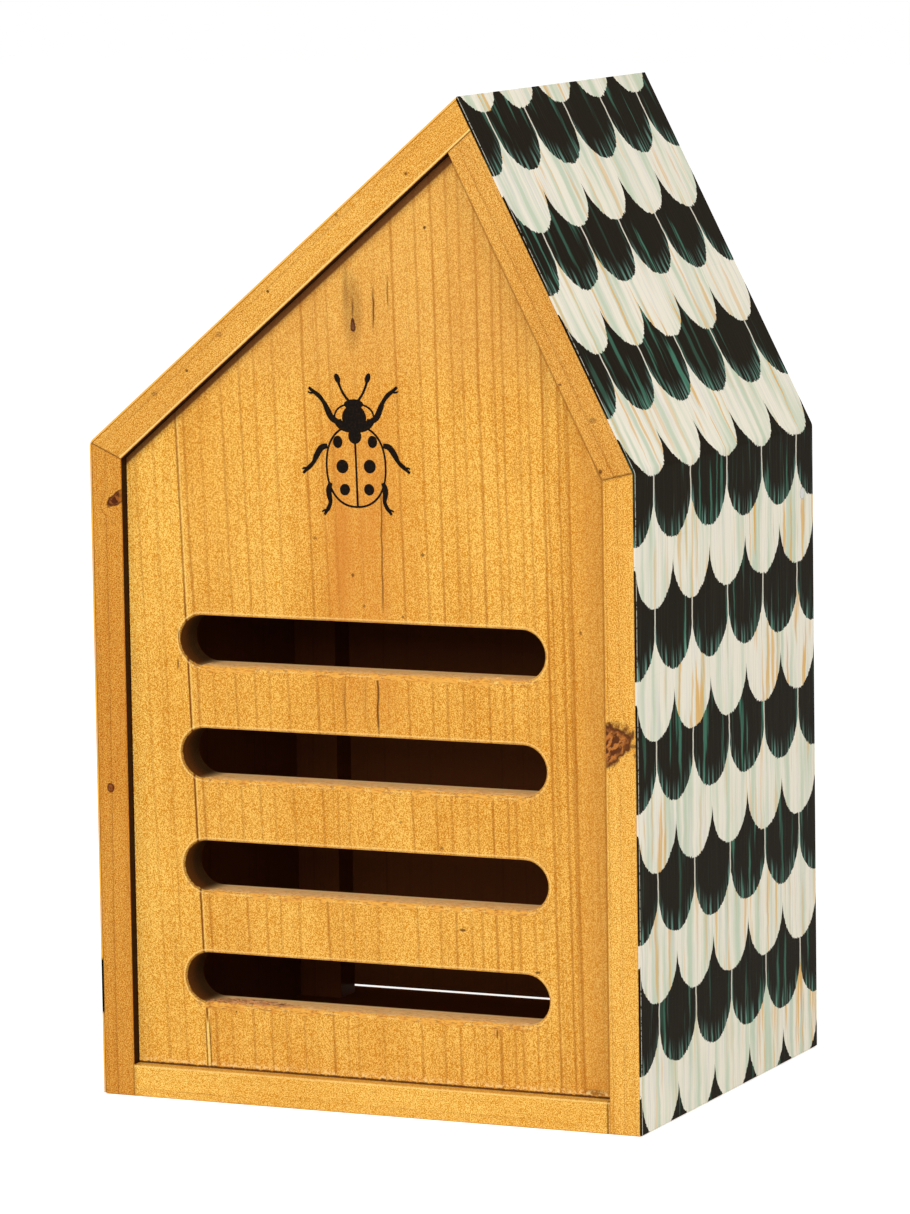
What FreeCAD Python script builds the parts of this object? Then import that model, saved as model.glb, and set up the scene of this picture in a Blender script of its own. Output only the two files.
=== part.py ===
"""Ladybug house: a wooden garden shelter with entry slots under a lopsided gable roof.

The front faces -Y, +X is to the right as seen from the front, and +Z is up. The origin lies on
the ground in the middle of the footprint. All sizes are in millimetres.
"""
import FreeCAD, Part
import math
import os

import Sketcher

SIZES = {
    # the wooden box, measured over its boards
    "house_width": "174",
    "house_depth": "140",
    "left_eave_height": "196.5",
    "right_eave_height": "193",
    "ridge_height": "299",
    "ridge_offset": "33.4",
    "board_thickness": "9.5",
    "edge_ease": "0.5",
    # the front panel, two staves glued edge to edge, and its entry slots
    "panel_thickness": "11",
    "panel_recess": "4",
    "panel_fit": "0.1",
    "slot_left_margin": "16.5",
    "slot_right_margin": "20.3",
    "slot_stave_lap": "7.1",
    "stave_lean": "2.13",
    "slot_height": "15",
    "slot_ease": "0.8",
    "lowest_slot_height": "37",
    "slot_pitch": "33.8",
    "slot_count": "4",
    # the back: a fixed gable above a door that swings on two nails
    "back_thickness": "10",
    "back_recess": "4",
    "door_side_gap": "1.3",
    "door_bottom_gap": "2.5",
    "door_top_gap": "1.5",
    "pivot_drop": "20",
    "stop_width": "14",
    "stop_thickness": "10",
    "stop_lap": "8",
    "stop_clearance": "0.3",
    # the nails that the door swings on
    "nail_radius": "0.9",
    "nail_point": "2.5",
    "nail_bite": "12",
    "nail_clearance": "0.05",
    "nail_head_radius": "1.8",
    "nail_head_clearance": "0.1",
    # the headless pins that hold the boards together
    "pin_radius": "0.6",
    "pin_set": "2",
    "pin_bite": "12",
    "pin_clearance": "0.05",
    "pin_spacing": "90",
    "side_pin_low": "55",
    "side_pin_high": "145",
    "gable_pin_rise": "5",
    "eave_pin_inset": "4",
    "eave_pin_length": "22",
    # the glossy printed sheets on the outside
    "print_thickness": "0.6",
    "print_foot_gap": "0.4",
    "print_bend_radius": "3",
    "print_edge_radius": "0.25",
    # the turn button below the door, and its screw
    "button_length": "26",
    "button_width": "8",
    "button_thickness": "2",
    "button_gap": "0.3",
    "button_edge_radius": "0.5",
    "button_screw_radius": "1.5",
    "button_screw_clearance": "0.08",
    "button_screw_bite": "14",
    "button_head_radius": "3",
    "button_head_height": "1.4",
    "button_head_clearance": "0.1",
    # the keyhole plate that the house hangs by, and its screws
    "plate_width": "16",
    "plate_height": "46",
    "plate_thickness": "1.5",
    "plate_corner_radius": "3",
    "plate_offset": "2",
    "keyhole_drop": "5",
    "keyhole_entry_radius": "4.5",
    "keyhole_neck_radius": "2.2",
    "keyhole_neck_rise": "9",
    "plate_screw_spacing": "34",
    "plate_screw_radius": "1.4",
    "plate_screw_play": "0.2",
    "plate_screw_bite": "7",
    "plate_head_radius": "2.6",
    "plate_head_height": "1.2",
    "hanger_pocket_width": "12",
    "hanger_pocket_margin": "2",
    "hanger_pocket_depth": "6",
    # details shared by both kinds of screw
    "screw_point": "3",
    "screw_head_bevel": "0.4",
    "screw_slot_width": "0.8",
    "screw_slot_depth": "0.6",
    "screw_hole_clearance": "0.05",
}

# Derived measures, each a formula over the sizes: (name, formula).
LAYOUT = [
    ("half_width", "sizes.house_width / 2"),
    ("inner_half", "layout.half_width - sizes.board_thickness"),
    # the eave joints are mitres, so each wall's inner face ends below its outer face
    ("left_run", "layout.half_width + sizes.ridge_offset"),
    ("right_run", "layout.half_width - sizes.ridge_offset"),
    ("left_slope", "atan2(sizes.ridge_height - sizes.left_eave_height; layout.left_run)"),
    ("right_slope", "atan2(sizes.ridge_height - sizes.right_eave_height; layout.right_run)"),
    ("left_mitre", "tan((90 deg - layout.left_slope) / 2)"),
    ("right_mitre", "tan((90 deg - layout.right_slope) / 2)"),
    ("left_inner_eave", "sizes.left_eave_height - sizes.board_thickness * layout.left_mitre"),
    ("right_inner_eave", "sizes.right_eave_height - sizes.board_thickness * layout.right_mitre"),
    # at the ridge the right roof board butts against the left one's inner face
    ("ridge_angle", "180 deg - layout.left_slope - layout.right_slope"),
    ("ridge_cut", "sizes.board_thickness / sin(layout.ridge_angle)"),
    ("butt_outer_x", "sizes.ridge_offset + layout.ridge_cut * cos(layout.right_slope)"),
    ("butt_outer_z", "sizes.ridge_height - layout.ridge_cut * sin(layout.right_slope)"),
    ("butt_inner_x", "layout.butt_outer_x - layout.ridge_cut * cos(layout.left_slope)"),
    ("butt_inner_z", "layout.butt_outer_z - layout.ridge_cut * sin(layout.left_slope)"),
    # the outline that the front panel and the back gable share, a hair inside the boards
    ("panel_half", "layout.inner_half - sizes.panel_fit"),
    ("panel_bottom", "sizes.board_thickness + sizes.panel_fit"),
    ("left_tilt", "tan(layout.left_slope)"),
    ("right_tilt", "tan(layout.right_slope)"),
    ("left_drop", "sizes.panel_fit / cos(layout.left_slope) - sizes.panel_fit * layout.left_tilt"),
    ("right_drop", "sizes.panel_fit / cos(layout.right_slope) - sizes.panel_fit * layout.right_tilt"),
    ("panel_left_eave", "layout.left_inner_eave - layout.left_drop"),
    ("panel_right_eave", "layout.right_inner_eave - layout.right_drop"),
    ("eave_step", "layout.panel_right_eave - layout.panel_left_eave"),
    ("panel_rise", "2 * layout.panel_half * layout.right_tilt + layout.eave_step"),
    ("panel_ridge_run", "layout.panel_rise / (layout.left_tilt + layout.right_tilt)"),
    ("panel_ridge_x", "layout.panel_ridge_run - layout.panel_half"),
    ("panel_ridge_z", "layout.panel_left_eave + layout.panel_ridge_run * layout.left_tilt"),
    # the slots keep their margins from the panel's sides, and their left ends reach into the narrow stave,
    # whose glue joint leans a little to the left on its way up
    ("slot_radius", "sizes.slot_height / 2"),
    ("slot_start_x", "sizes.slot_left_margin - layout.panel_half + layout.slot_radius"),
    ("slot_end_x", "layout.panel_half - sizes.slot_right_margin - layout.slot_radius"),
    ("joint_foot_run", "sizes.slot_left_margin + sizes.slot_stave_lap"),
    ("joint_foot_x", "layout.joint_foot_run - layout.panel_half"),
    ("joint_slant", "tan(sizes.stave_lean * 1 deg)"),
    ("joint_ground_run", "layout.joint_foot_run + layout.panel_bottom * layout.joint_slant"),
    ("joint_top_rise", "layout.panel_left_eave + layout.joint_ground_run * layout.left_tilt"),
    ("joint_top_z", "layout.joint_top_rise / (1 + layout.joint_slant * layout.left_tilt)"),
    ("joint_top_x", "layout.joint_foot_x - (layout.joint_top_z - layout.panel_bottom) * layout.joint_slant"),
    # planes along the depth
    ("front_y", "-sizes.house_depth / 2"),
    ("panel_middle_y", "layout.front_y + sizes.panel_recess + sizes.panel_thickness / 2"),
    ("back_face_y", "sizes.house_depth / 2 - sizes.back_recess"),
    ("back_middle_y", "layout.back_face_y - sizes.back_thickness / 2"),
    ("stop_face_y", "layout.back_face_y - sizes.back_thickness - sizes.stop_clearance"),
    ("stop_middle_y", "layout.stop_face_y - sizes.stop_thickness / 2"),
    # the door and what it closes against
    ("door_half", "layout.inner_half - sizes.door_side_gap"),
    ("door_bottom", "sizes.board_thickness + sizes.door_bottom_gap"),
    ("pivot_z", "min(sizes.left_eave_height; sizes.right_eave_height) - sizes.pivot_drop"),
    ("gable_bottom", "layout.pivot_z + sizes.back_thickness / 2 + sizes.door_top_gap"),
    ("stop_top", "layout.gable_bottom + sizes.stop_lap"),
    # the printed sheets meet on the line that halves the ridge
    ("left_print_eave", "sizes.left_eave_height + sizes.print_thickness * layout.left_mitre"),
    ("right_print_eave", "sizes.right_eave_height + sizes.print_thickness * layout.right_mitre"),
    ("print_half", "layout.half_width + sizes.print_thickness"),
    ("print_lift", "sizes.print_thickness / (1 - cos(layout.ridge_angle))"),
    ("print_lean", "sin(layout.right_slope) - sin(layout.left_slope)"),
    ("print_crest", "cos(layout.right_slope) + cos(layout.left_slope)"),
    ("print_ridge_x", "sizes.ridge_offset + layout.print_lift * layout.print_lean"),
    ("print_ridge_z", "sizes.ridge_height + layout.print_lift * layout.print_crest"),
    # the ridge pins go square through the left roof board into the right board's end
    ("ridge_pin_x", "(layout.butt_outer_x + layout.butt_inner_x) / 2"),
    ("ridge_pin_z", "(layout.butt_outer_z + layout.butt_inner_z) / 2"),
    ("ridge_pin_depth", "sizes.board_thickness - sizes.pin_set"),
    # the hanger plate sits halfway between the door and the shallow roof above the plate's left edge
    ("plate_left_run", "layout.panel_half + sizes.plate_offset - sizes.plate_width / 2"),
    ("plate_roof_z", "layout.panel_left_eave + layout.plate_left_run * layout.left_tilt"),
    ("plate_middle_z", "(layout.gable_bottom + layout.plate_roof_z) / 2"),
    ("keyhole_z", "layout.plate_middle_z - sizes.keyhole_drop"),
    # the turn button
    ("button_z", "sizes.board_thickness / 2"),
    ("button_reach", "sizes.button_length - sizes.button_width"),
]

ANGLES = {"left_slope", "right_slope", "ridge_angle"}
Y_AXIS = FreeCAD.Vector(0, 1, 0)
TOWARDS_RIGHT = FreeCAD.Rotation(Y_AXIS, 90)
TOWARDS_LEFT = FreeCAD.Rotation(-Y_AXIS, 90)
DOWNWARDS = FreeCAD.Rotation(Y_AXIS, 180)
TOWARDS_BACK = FreeCAD.Rotation(FreeCAD.Vector(-1, 0, 0), 90)
INWARDS = {-1: TOWARDS_RIGHT, 1: TOWARDS_LEFT}
OUTWARDS = {-1: TOWARDS_LEFT, 1: TOWARDS_RIGHT}
SIDES = {-1: "left", 1: "right"}
NEAR = 1e-4

doc = FreeCAD.newDocument("ladybug_house")

sheet = doc.addObject("Spreadsheet::Sheet", "sizes")
for row, (size_name, number) in enumerate(SIZES.items(), start=1):
    sheet.set(f"A{row}", size_name)
    sheet.set(f"B{row}", number)
    sheet.setAlias(f"B{row}", size_name)
doc.recompute()

layout = doc.addObject("App::VarSet", "layout")
for measure, formula in LAYOUT:
    layout.addProperty("App::PropertyAngle" if measure in ANGLES else "App::PropertyFloat", measure)
    layout.setExpression(measure, formula)
doc.recompute()


def value(formula):
    """Number that a formula over the sizes and the layout gives."""
    result = layout.evalExpression(formula)
    return float(getattr(result, "Value", result))


# Sketches and features


def attached_sketch(body, name, role):
    """Empty sketch on one of the body's own origin planes."""
    sketch = body.newObject("Sketcher::SketchObject", name)
    plane = next(item for item in body.Origin.OriginFeatures if item.Role == role)
    sketch.AttachmentSupport = [(plane, "")]
    sketch.MapMode = "FlatFace"
    return sketch


def bind_point(sketch, geometry, position, across, up):
    """Hold one point of a sketch at two formulas, measured from the sketch's origin."""
    for kind, formula in (("DistanceX", across), ("DistanceY", up)):
        rule = Sketcher.Constraint(kind, -1, 1, geometry, position, value(formula))
        sketch.setExpression(f"Constraints[{sketch.addConstraint(rule)}]", formula)


def bind_radius(sketch, geometry, formula):
    """Hold the radius of a circle or an arc at a formula."""
    rule = Sketcher.Constraint("Radius", geometry, value(formula))
    sketch.setExpression(f"Constraints[{sketch.addConstraint(rule)}]", formula)


def polygon_sketch(body, name, corners, role="XZ_Plane"):
    """Closed outline of straight edges; each corner is a pair of formulas."""
    sketch = attached_sketch(body, name, role)
    points = [FreeCAD.Vector(value(across), value(up), 0) for across, up in corners]
    for start, end in zip(points, points[1:] + points[:1]):
        sketch.addGeometry(Part.LineSegment(start, end), False)
    for edge in range(len(points)):
        sketch.addConstraint(Sketcher.Constraint("Coincident", edge, 2, (edge + 1) % len(points), 1))
    for edge, (across, up) in enumerate(corners):
        bind_point(sketch, edge, 1, across, up)
    return sketch


def obround_sketch(body, name, first, second, radius):
    """Outline with two round ends, centred on two points, and two straight sides."""
    sketch = attached_sketch(body, name, "XZ_Plane")
    start = FreeCAD.Vector(value(first[0]), value(first[1]), 0)
    end = FreeCAD.Vector(value(second[0]), value(second[1]), 0)
    size = value(radius)
    along = (end - start).normalize()
    beside = FreeCAD.Vector(-along.y, along.x, 0) * size
    turn = math.atan2(beside.y, beside.x)
    up = FreeCAD.Vector(0, 0, 1)
    for centre, angle in ((start, turn), (end, turn + math.pi)):
        circle = Part.Circle(centre, up, size)
        sketch.addGeometry(Part.ArcOfCircle(circle, angle, angle + math.pi), False)
    sketch.addGeometry(Part.LineSegment(start + beside, end + beside), False)
    sketch.addGeometry(Part.LineSegment(start - beside, end - beside), False)
    for arc, arc_end, side, side_end in ((0, 1, 2, 1), (0, 2, 3, 1), (1, 1, 3, 2), (1, 2, 2, 2)):
        sketch.addConstraint(Sketcher.Constraint("Tangent", arc, arc_end, side, side_end))
    sketch.addConstraint(Sketcher.Constraint("Equal", 0, 1))
    bind_point(sketch, 0, 3, *first)
    bind_point(sketch, 1, 3, *second)
    bind_radius(sketch, 0, radius)
    return sketch


def circle_sketch(body, name, centre, radius):
    """One circle, its centre and radius held at formulas."""
    sketch = attached_sketch(body, name, "XZ_Plane")
    middle = FreeCAD.Vector(value(centre[0]), value(centre[1]), 0)
    sketch.addGeometry(Part.Circle(middle, FreeCAD.Vector(0, 0, 1), value(radius)), False)
    bind_point(sketch, 0, 3, *centre)
    bind_radius(sketch, 0, radius)
    return sketch


def pad(body, sketch, thickness):
    """Solid of the given thickness, half on each side of the sketch."""
    feature = body.newObject("PartDesign::Pad", sketch.Name + "_pad")
    feature.Profile = sketch
    feature.SideType = "Symmetric"
    feature.setExpression("Length", thickness)
    return feature


def pocket_through(body, sketch):
    """Opening right through the body, in both directions from the sketch."""
    doc.recompute()
    before = body.Shape.Volume
    feature = body.newObject("PartDesign::Pocket", sketch.Name + "_pocket")
    feature.Profile = sketch
    feature.SideType = "Symmetric"
    feature.Type = "ThroughAll"
    doc.recompute()
    if not body.Shape.Volume < before:
        raise RuntimeError(f"{feature.Name} cuts nothing")
    return feature


def fillet(body, name, base, elements, radius):
    """Rounded edges on the named faces or edges of a feature."""
    feature = body.newObject("PartDesign::Fillet", name)
    feature.Base = (base, elements)
    feature.setExpression("Radius", radius)
    body.Tip = feature
    return feature


def end_faces(shape):
    """Names of the front and the rear flat face of a board."""
    heights = [face.CenterOfMass.y for face in shape.Faces]
    return [f"Face{heights.index(pick(heights)) + 1}" for pick in (min, max)]


def place(thing, across, along, up, rotation=None):
    """Bind a piece's position to formulas, after turning it."""
    if rotation:
        thing.Placement = FreeCAD.Placement(FreeCAD.Vector(), rotation)
    for axis, formula in zip("xyz", (across, along, up)):
        thing.setExpression(f"Placement.Base.{axis}", formula)


# Kinds of pieces


def board(label, corners, thickness, middle):
    """Sawn board: an outline seen from the front, thick along Y about its middle plane."""
    body = doc.addObject("PartDesign::Body", label)
    pad(body, polygon_sketch(body, label + "_outline", corners), thickness)
    place(body, "0", middle, "0")
    doc.recompute()
    return body


def eased_board(label, corners, thickness, middle):
    """Board whose front and rear edges are sanded round."""
    body = board(label, corners, thickness, middle)
    fillet(body, label + "_eased", body.Tip, end_faces(body.Tip.Shape), "sizes.edge_ease")
    return body


def turned(label, profile, rotation):
    """Round piece about its own axis; the profile is pairs of radius and height, as formulas."""
    body = doc.addObject("PartDesign::Body", label)
    sketch = polygon_sketch(body, label + "_profile", profile)
    feature = body.newObject("PartDesign::Revolution", label + "_turned")
    feature.Profile = sketch
    feature.ReferenceAxis = (sketch, ["V_Axis"])
    feature.Angle = 360
    body.Placement = FreeCAD.Placement(FreeCAD.Vector(), rotation)
    return body


def rod(name, radius, length, across, along, up, rotation):
    """Plain round rod that starts at a point and runs along a direction."""
    cylinder = doc.addObject("Part::Cylinder", name)
    cylinder.setExpression("Radius", radius)
    cylinder.setExpression("Height", length)
    place(cylinder, across, along, up, rotation)
    return cylinder


def group(label, members):
    """Separate solids that are kept together."""
    bundle = doc.addObject("Part::Compound", label)
    bundle.Links = members
    return bundle


# Fasteners, with the holes that they fill

holes = []


def pin(name, length, across, along, up, rotation):
    """Headless pin, and its hole through the boards that it joins."""
    seat = (length, across, along, up, rotation)
    hole = rod(name + "_hole", "sizes.pin_radius + sizes.pin_clearance", *seat)
    holes.append(hole)
    return rod(name, "sizes.pin_radius", *seat), hole


def side_pins(label, along, heights):
    """Pins driven level through both walls, at each pair of depth and height."""
    members = []
    length = "sizes.board_thickness - sizes.pin_set + sizes.pin_bite"
    for side, hand in SIDES.items():
        start = f"{side} * (layout.half_width - sizes.pin_set)"
        for order, (depth, up) in enumerate([(depth, up) for depth in along for up in heights]):
            name = f"{label}_{hand}_{order}"
            members.append(pin(name, length, start, depth, up, INWARDS[side])[0])
    return group(label, members)


SPREAD = ("-sizes.pin_spacing / 2", "sizes.pin_spacing / 2")
SIDE_HEIGHTS = ("sizes.side_pin_low", "sizes.side_pin_high")

floor_pins = side_pins("floor_pins", SPREAD, ["sizes.board_thickness / 2"])
front_panel_pins = side_pins("front_panel_pins", ["layout.panel_middle_y"], SIDE_HEIGHTS)
stop_strip_pins = side_pins("stop_strip_pins", ["layout.stop_middle_y"], SIDE_HEIGHTS)
gable_pins = side_pins("gable_pins", ["layout.back_middle_y"], ["layout.gable_bottom + sizes.gable_pin_rise"])


def eave_pins():
    """Upright pins through the roof boards into the ends of the walls."""
    members = []
    for side, hand in SIDES.items():
        across = f"{side} * (layout.half_width - sizes.eave_pin_inset)"
        top = f"sizes.{hand}_eave_height + sizes.eave_pin_inset * layout.{hand}_tilt - sizes.pin_set"
        for order, along in enumerate(SPREAD):
            name = f"eave_pins_{hand}_{order}"
            members.append(pin(name, "sizes.eave_pin_length", across, along, top, DOWNWARDS)[0])
    return group("eave_pins", members)


def ridge_pins():
    """Pins square to the left roof board, into the upper end of the right one."""
    members = []
    across = "layout.ridge_pin_x - layout.ridge_pin_depth * sin(layout.left_slope)"
    up = "layout.ridge_pin_z + layout.ridge_pin_depth * cos(layout.left_slope)"
    length = "layout.ridge_pin_depth + sizes.pin_bite"
    turn = "180 deg - layout.left_slope"
    for order, along in enumerate(SPREAD):
        pair = pin(f"ridge_pins_{order}", length, across, along, up, FreeCAD.Rotation(Y_AXIS, value(turn)))
        for item in pair:
            item.setExpression("Placement.Rotation.Angle", turn)
        members.append(pair[0])
    return group("ridge_pins", members)


def pivot_nails():
    """Headed nails through the walls into the edges of the door, which turns on them."""
    members = []
    shank = "layout.half_width - layout.door_half + sizes.nail_bite"
    full = f"{shank} + sizes.print_thickness"
    profile = [
        ("0", "0"),
        ("sizes.nail_radius", "sizes.nail_point"),
        ("sizes.nail_radius", shank),
        ("sizes.nail_head_radius", shank),
        ("sizes.nail_head_radius", full),
        ("0", full),
    ]
    for side, hand in SIDES.items():
        nail = turned(f"pivot_nail_{hand}", profile, OUTWARDS[side])
        tip = f"{side} * (layout.door_half - sizes.nail_bite)"
        wall = f"{side} * layout.half_width"
        spot = ("layout.back_middle_y", "layout.pivot_z")
        place(nail, tip, *spot, OUTWARDS[side])
        members.append(nail)
        hole = "sizes.nail_radius + sizes.nail_clearance"
        head = "sizes.nail_head_radius + sizes.nail_head_clearance"
        holes.append(rod(f"nail_hole_{hand}", hole, shank, tip, *spot, OUTWARDS[side]))
        sheet_depth = "2 * sizes.print_thickness"
        holes.append(rod(f"nail_head_hole_{hand}", head, sheet_depth, wall, *spot, OUTWARDS[side]))
    return group("pivot_nails", members)


def slotted_screw(label, kind, under, spot):
    """Screw that enters from the back; its head's underside stands off the back face by a formula."""
    radius = f"sizes.{kind}_screw_radius"
    head = f"sizes.{kind}_head_radius"
    length = f"sizes.{kind}_screw_bite + {under}"
    top = f"{length} + sizes.{kind}_head_height"
    profile = [
        ("0", "0"),
        (radius, "sizes.screw_point"),
        (radius, length),
        (head, length),
        (head, f"{top} - sizes.screw_head_bevel"),
        (f"{head} - sizes.screw_head_bevel", top),
        ("0", top),
    ]
    body = turned(label, profile, TOWARDS_BACK)
    start = (spot[0], f"layout.back_face_y - sizes.{kind}_screw_bite", spot[1])
    place(body, *start, TOWARDS_BACK)
    cutter = doc.addObject("Part::Box", label + "_slot")
    cutter.setExpression("Length", f"2 * {head}")
    cutter.setExpression("Width", "sizes.screw_slot_depth")
    cutter.setExpression("Height", "sizes.screw_slot_width")
    face = f"layout.back_face_y + {under} + sizes.{kind}_head_height - sizes.screw_slot_depth"
    place(cutter, f"{spot[0]} - {head}", face, f"{spot[1]} - sizes.screw_slot_width / 2")
    hole = f"{radius} + sizes.screw_hole_clearance"
    holes.append(rod(label + "_hole", hole, f"sizes.{kind}_screw_bite", *start, TOWARDS_BACK))
    screw = doc.addObject("Part::Cut", label + "_cut")
    screw.Base = body
    screw.Tool = cutter
    return screw


def turn_button_screw():
    """Screw in the floor's rear edge, which the turn button turns on."""
    under = "sizes.button_gap + sizes.button_thickness + sizes.button_head_clearance"
    screw = slotted_screw("button_screw", "button", under, ("0", "layout.button_z"))
    screw.Label = "turn_button_screw"
    return screw


def keyhole_screws():
    """Two screws that hold the keyhole plate to the gable."""
    members = []
    for order, sign in enumerate(("-", "+")):
        height = f"layout.plate_middle_z {sign} sizes.plate_screw_spacing / 2"
        spot = ("sizes.plate_offset", height)
        members.append(slotted_screw(f"keyhole_screw_{order}", "plate", "sizes.plate_thickness", spot))
    return group("keyhole_screws", members)


def hanger_pocket():
    """Hollow in the gable behind the keyhole, where the head of a wall screw goes."""
    box = doc.addObject("Part::Box", "hanger_pocket")
    box.setExpression("Length", "sizes.hanger_pocket_width")
    box.setExpression("Width", "sizes.hanger_pocket_depth")
    reach = "sizes.keyhole_entry_radius + sizes.hanger_pocket_margin"
    box.setExpression("Height", f"sizes.keyhole_neck_rise + 2 * ({reach})")
    across = "sizes.plate_offset - sizes.hanger_pocket_width / 2"
    place(box, across, "layout.back_face_y - sizes.hanger_pocket_depth", f"layout.keyhole_z - ({reach})")
    return box


FASTENERS = [
    floor_pins,
    front_panel_pins,
    stop_strip_pins,
    gable_pins,
    eave_pins(),
    ridge_pins(),
    pivot_nails(),
    turn_button_screw(),
    keyhole_screws(),
]
holes.append(hanger_pocket())
all_holes = group("all_holes", holes)


def drilled(label, blank):
    """Finished piece: its blank with every hole that reaches it taken out."""
    finished = doc.addObject("Part::Cut", label)
    finished.Base = blank
    finished.Tool = all_holes
    return finished


# The wooden box


def side_wall(side):
    """Upright side board, mitred to the roof at the eave."""
    hand = SIDES[side]
    corners = [
        (f"{side} * layout.half_width", "0"),
        (f"{side} * layout.inner_half", "0"),
        (f"{side} * layout.inner_half", f"layout.{hand}_inner_eave"),
        (f"{side} * layout.half_width", f"sizes.{hand}_eave_height"),
    ]
    return drilled(f"{hand}_wall", eased_board(f"{hand}_wall_blank", corners, "sizes.house_depth", "0"))


def left_roof_board():
    """Long, shallow slope; its upper end lies flush with the steep slope."""
    corners = [
        ("-layout.half_width", "sizes.left_eave_height"),
        ("-layout.inner_half", "layout.left_inner_eave"),
        ("layout.butt_outer_x", "layout.butt_outer_z"),
        ("sizes.ridge_offset", "sizes.ridge_height"),
    ]
    return drilled("left_roof_board", eased_board("left_roof_blank", corners, "sizes.house_depth", "0"))


def right_roof_board():
    """Short, steep slope; its upper end butts under the other roof board."""
    corners = [
        ("layout.butt_outer_x", "layout.butt_outer_z"),
        ("layout.half_width", "sizes.right_eave_height"),
        ("layout.inner_half", "layout.right_inner_eave"),
        ("layout.butt_inner_x", "layout.butt_inner_z"),
    ]
    return drilled("right_roof_board", eased_board("right_roof_blank", corners, "sizes.house_depth", "0"))


def floor_board():
    """Bottom board between the walls; at the back it ends flush with the door."""
    corners = [
        ("-layout.inner_half", "0"),
        ("layout.inner_half", "0"),
        ("layout.inner_half", "sizes.board_thickness"),
        ("-layout.inner_half", "sizes.board_thickness"),
    ]
    depth = "sizes.house_depth - sizes.back_recess"
    return drilled("floor_board", eased_board("floor_blank", corners, depth, "-sizes.back_recess / 2"))


# The front panel


def slotted_stave(label, corners):
    """Stave of the front panel, with its share of the entry slots and their front edges eased."""
    body = board(label + "_blank", corners, "sizes.panel_thickness", "layout.panel_middle_y")
    first = ("layout.slot_start_x", "sizes.lowest_slot_height")
    second = ("layout.slot_end_x", "sizes.lowest_slot_height")
    slot = pocket_through(body, obround_sketch(body, label + "_slot", first, second, "layout.slot_radius"))
    row_of_slots = body.newObject("PartDesign::LinearPattern", label + "_slots")
    row_of_slots.Originals = [slot]
    upright = next(item for item in body.Origin.OriginFeatures if item.Role == "Z_Axis")
    row_of_slots.Direction = (upright, [""])
    row_of_slots.Mode = "Spacing"
    row_of_slots.setExpression("Offset", "sizes.slot_pitch")
    row_of_slots.setExpression("Occurrences", "sizes.slot_count")
    body.Tip = row_of_slots
    doc.recompute()
    fillet(body, label + "_eased", row_of_slots, slot_edges(row_of_slots.Shape), "sizes.slot_ease")
    return drilled(label, body)


def slot_edges(shape):
    """Names of the edges where the slots break the stave's front face."""
    front = shape.BoundBox.YMin
    names = []
    for number, edge in enumerate(shape.Edges, start=1):
        box = edge.BoundBox
        on_front = box.YMax < front + NEAR
        level = box.ZLength < NEAR and box.ZMin > shape.BoundBox.ZMin + NEAR
        if on_front and (level or isinstance(edge.Curve, Part.Circle)):
            names.append(f"Edge{number}")
    return names


def front_staves():
    """The narrow and the wide stave, glued along one joint that leans a little."""
    joint_foot = ("layout.joint_foot_x", "layout.panel_bottom")
    joint_top = ("layout.joint_top_x", "layout.joint_top_z")
    narrow = [
        ("-layout.panel_half", "layout.panel_bottom"),
        joint_foot,
        joint_top,
        ("-layout.panel_half", "layout.panel_left_eave"),
    ]
    wide = [
        joint_foot,
        ("layout.panel_half", "layout.panel_bottom"),
        ("layout.panel_half", "layout.panel_right_eave"),
        ("layout.panel_ridge_x", "layout.panel_ridge_z"),
        joint_top,
    ]
    return [slotted_stave("front_narrow_stave", narrow), slotted_stave("front_wide_stave", wide)]


# The back


def back_gable():
    """Fixed rear panel under the roof, above the door."""
    corners = [
        ("-layout.panel_half", "layout.gable_bottom"),
        ("layout.panel_half", "layout.gable_bottom"),
        ("layout.panel_half", "layout.panel_right_eave"),
        ("layout.panel_ridge_x", "layout.panel_ridge_z"),
        ("-layout.panel_half", "layout.panel_left_eave"),
    ]
    blank = eased_board("gable_blank", corners, "sizes.back_thickness", "layout.back_middle_y")
    return drilled("back_gable", blank)


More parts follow.
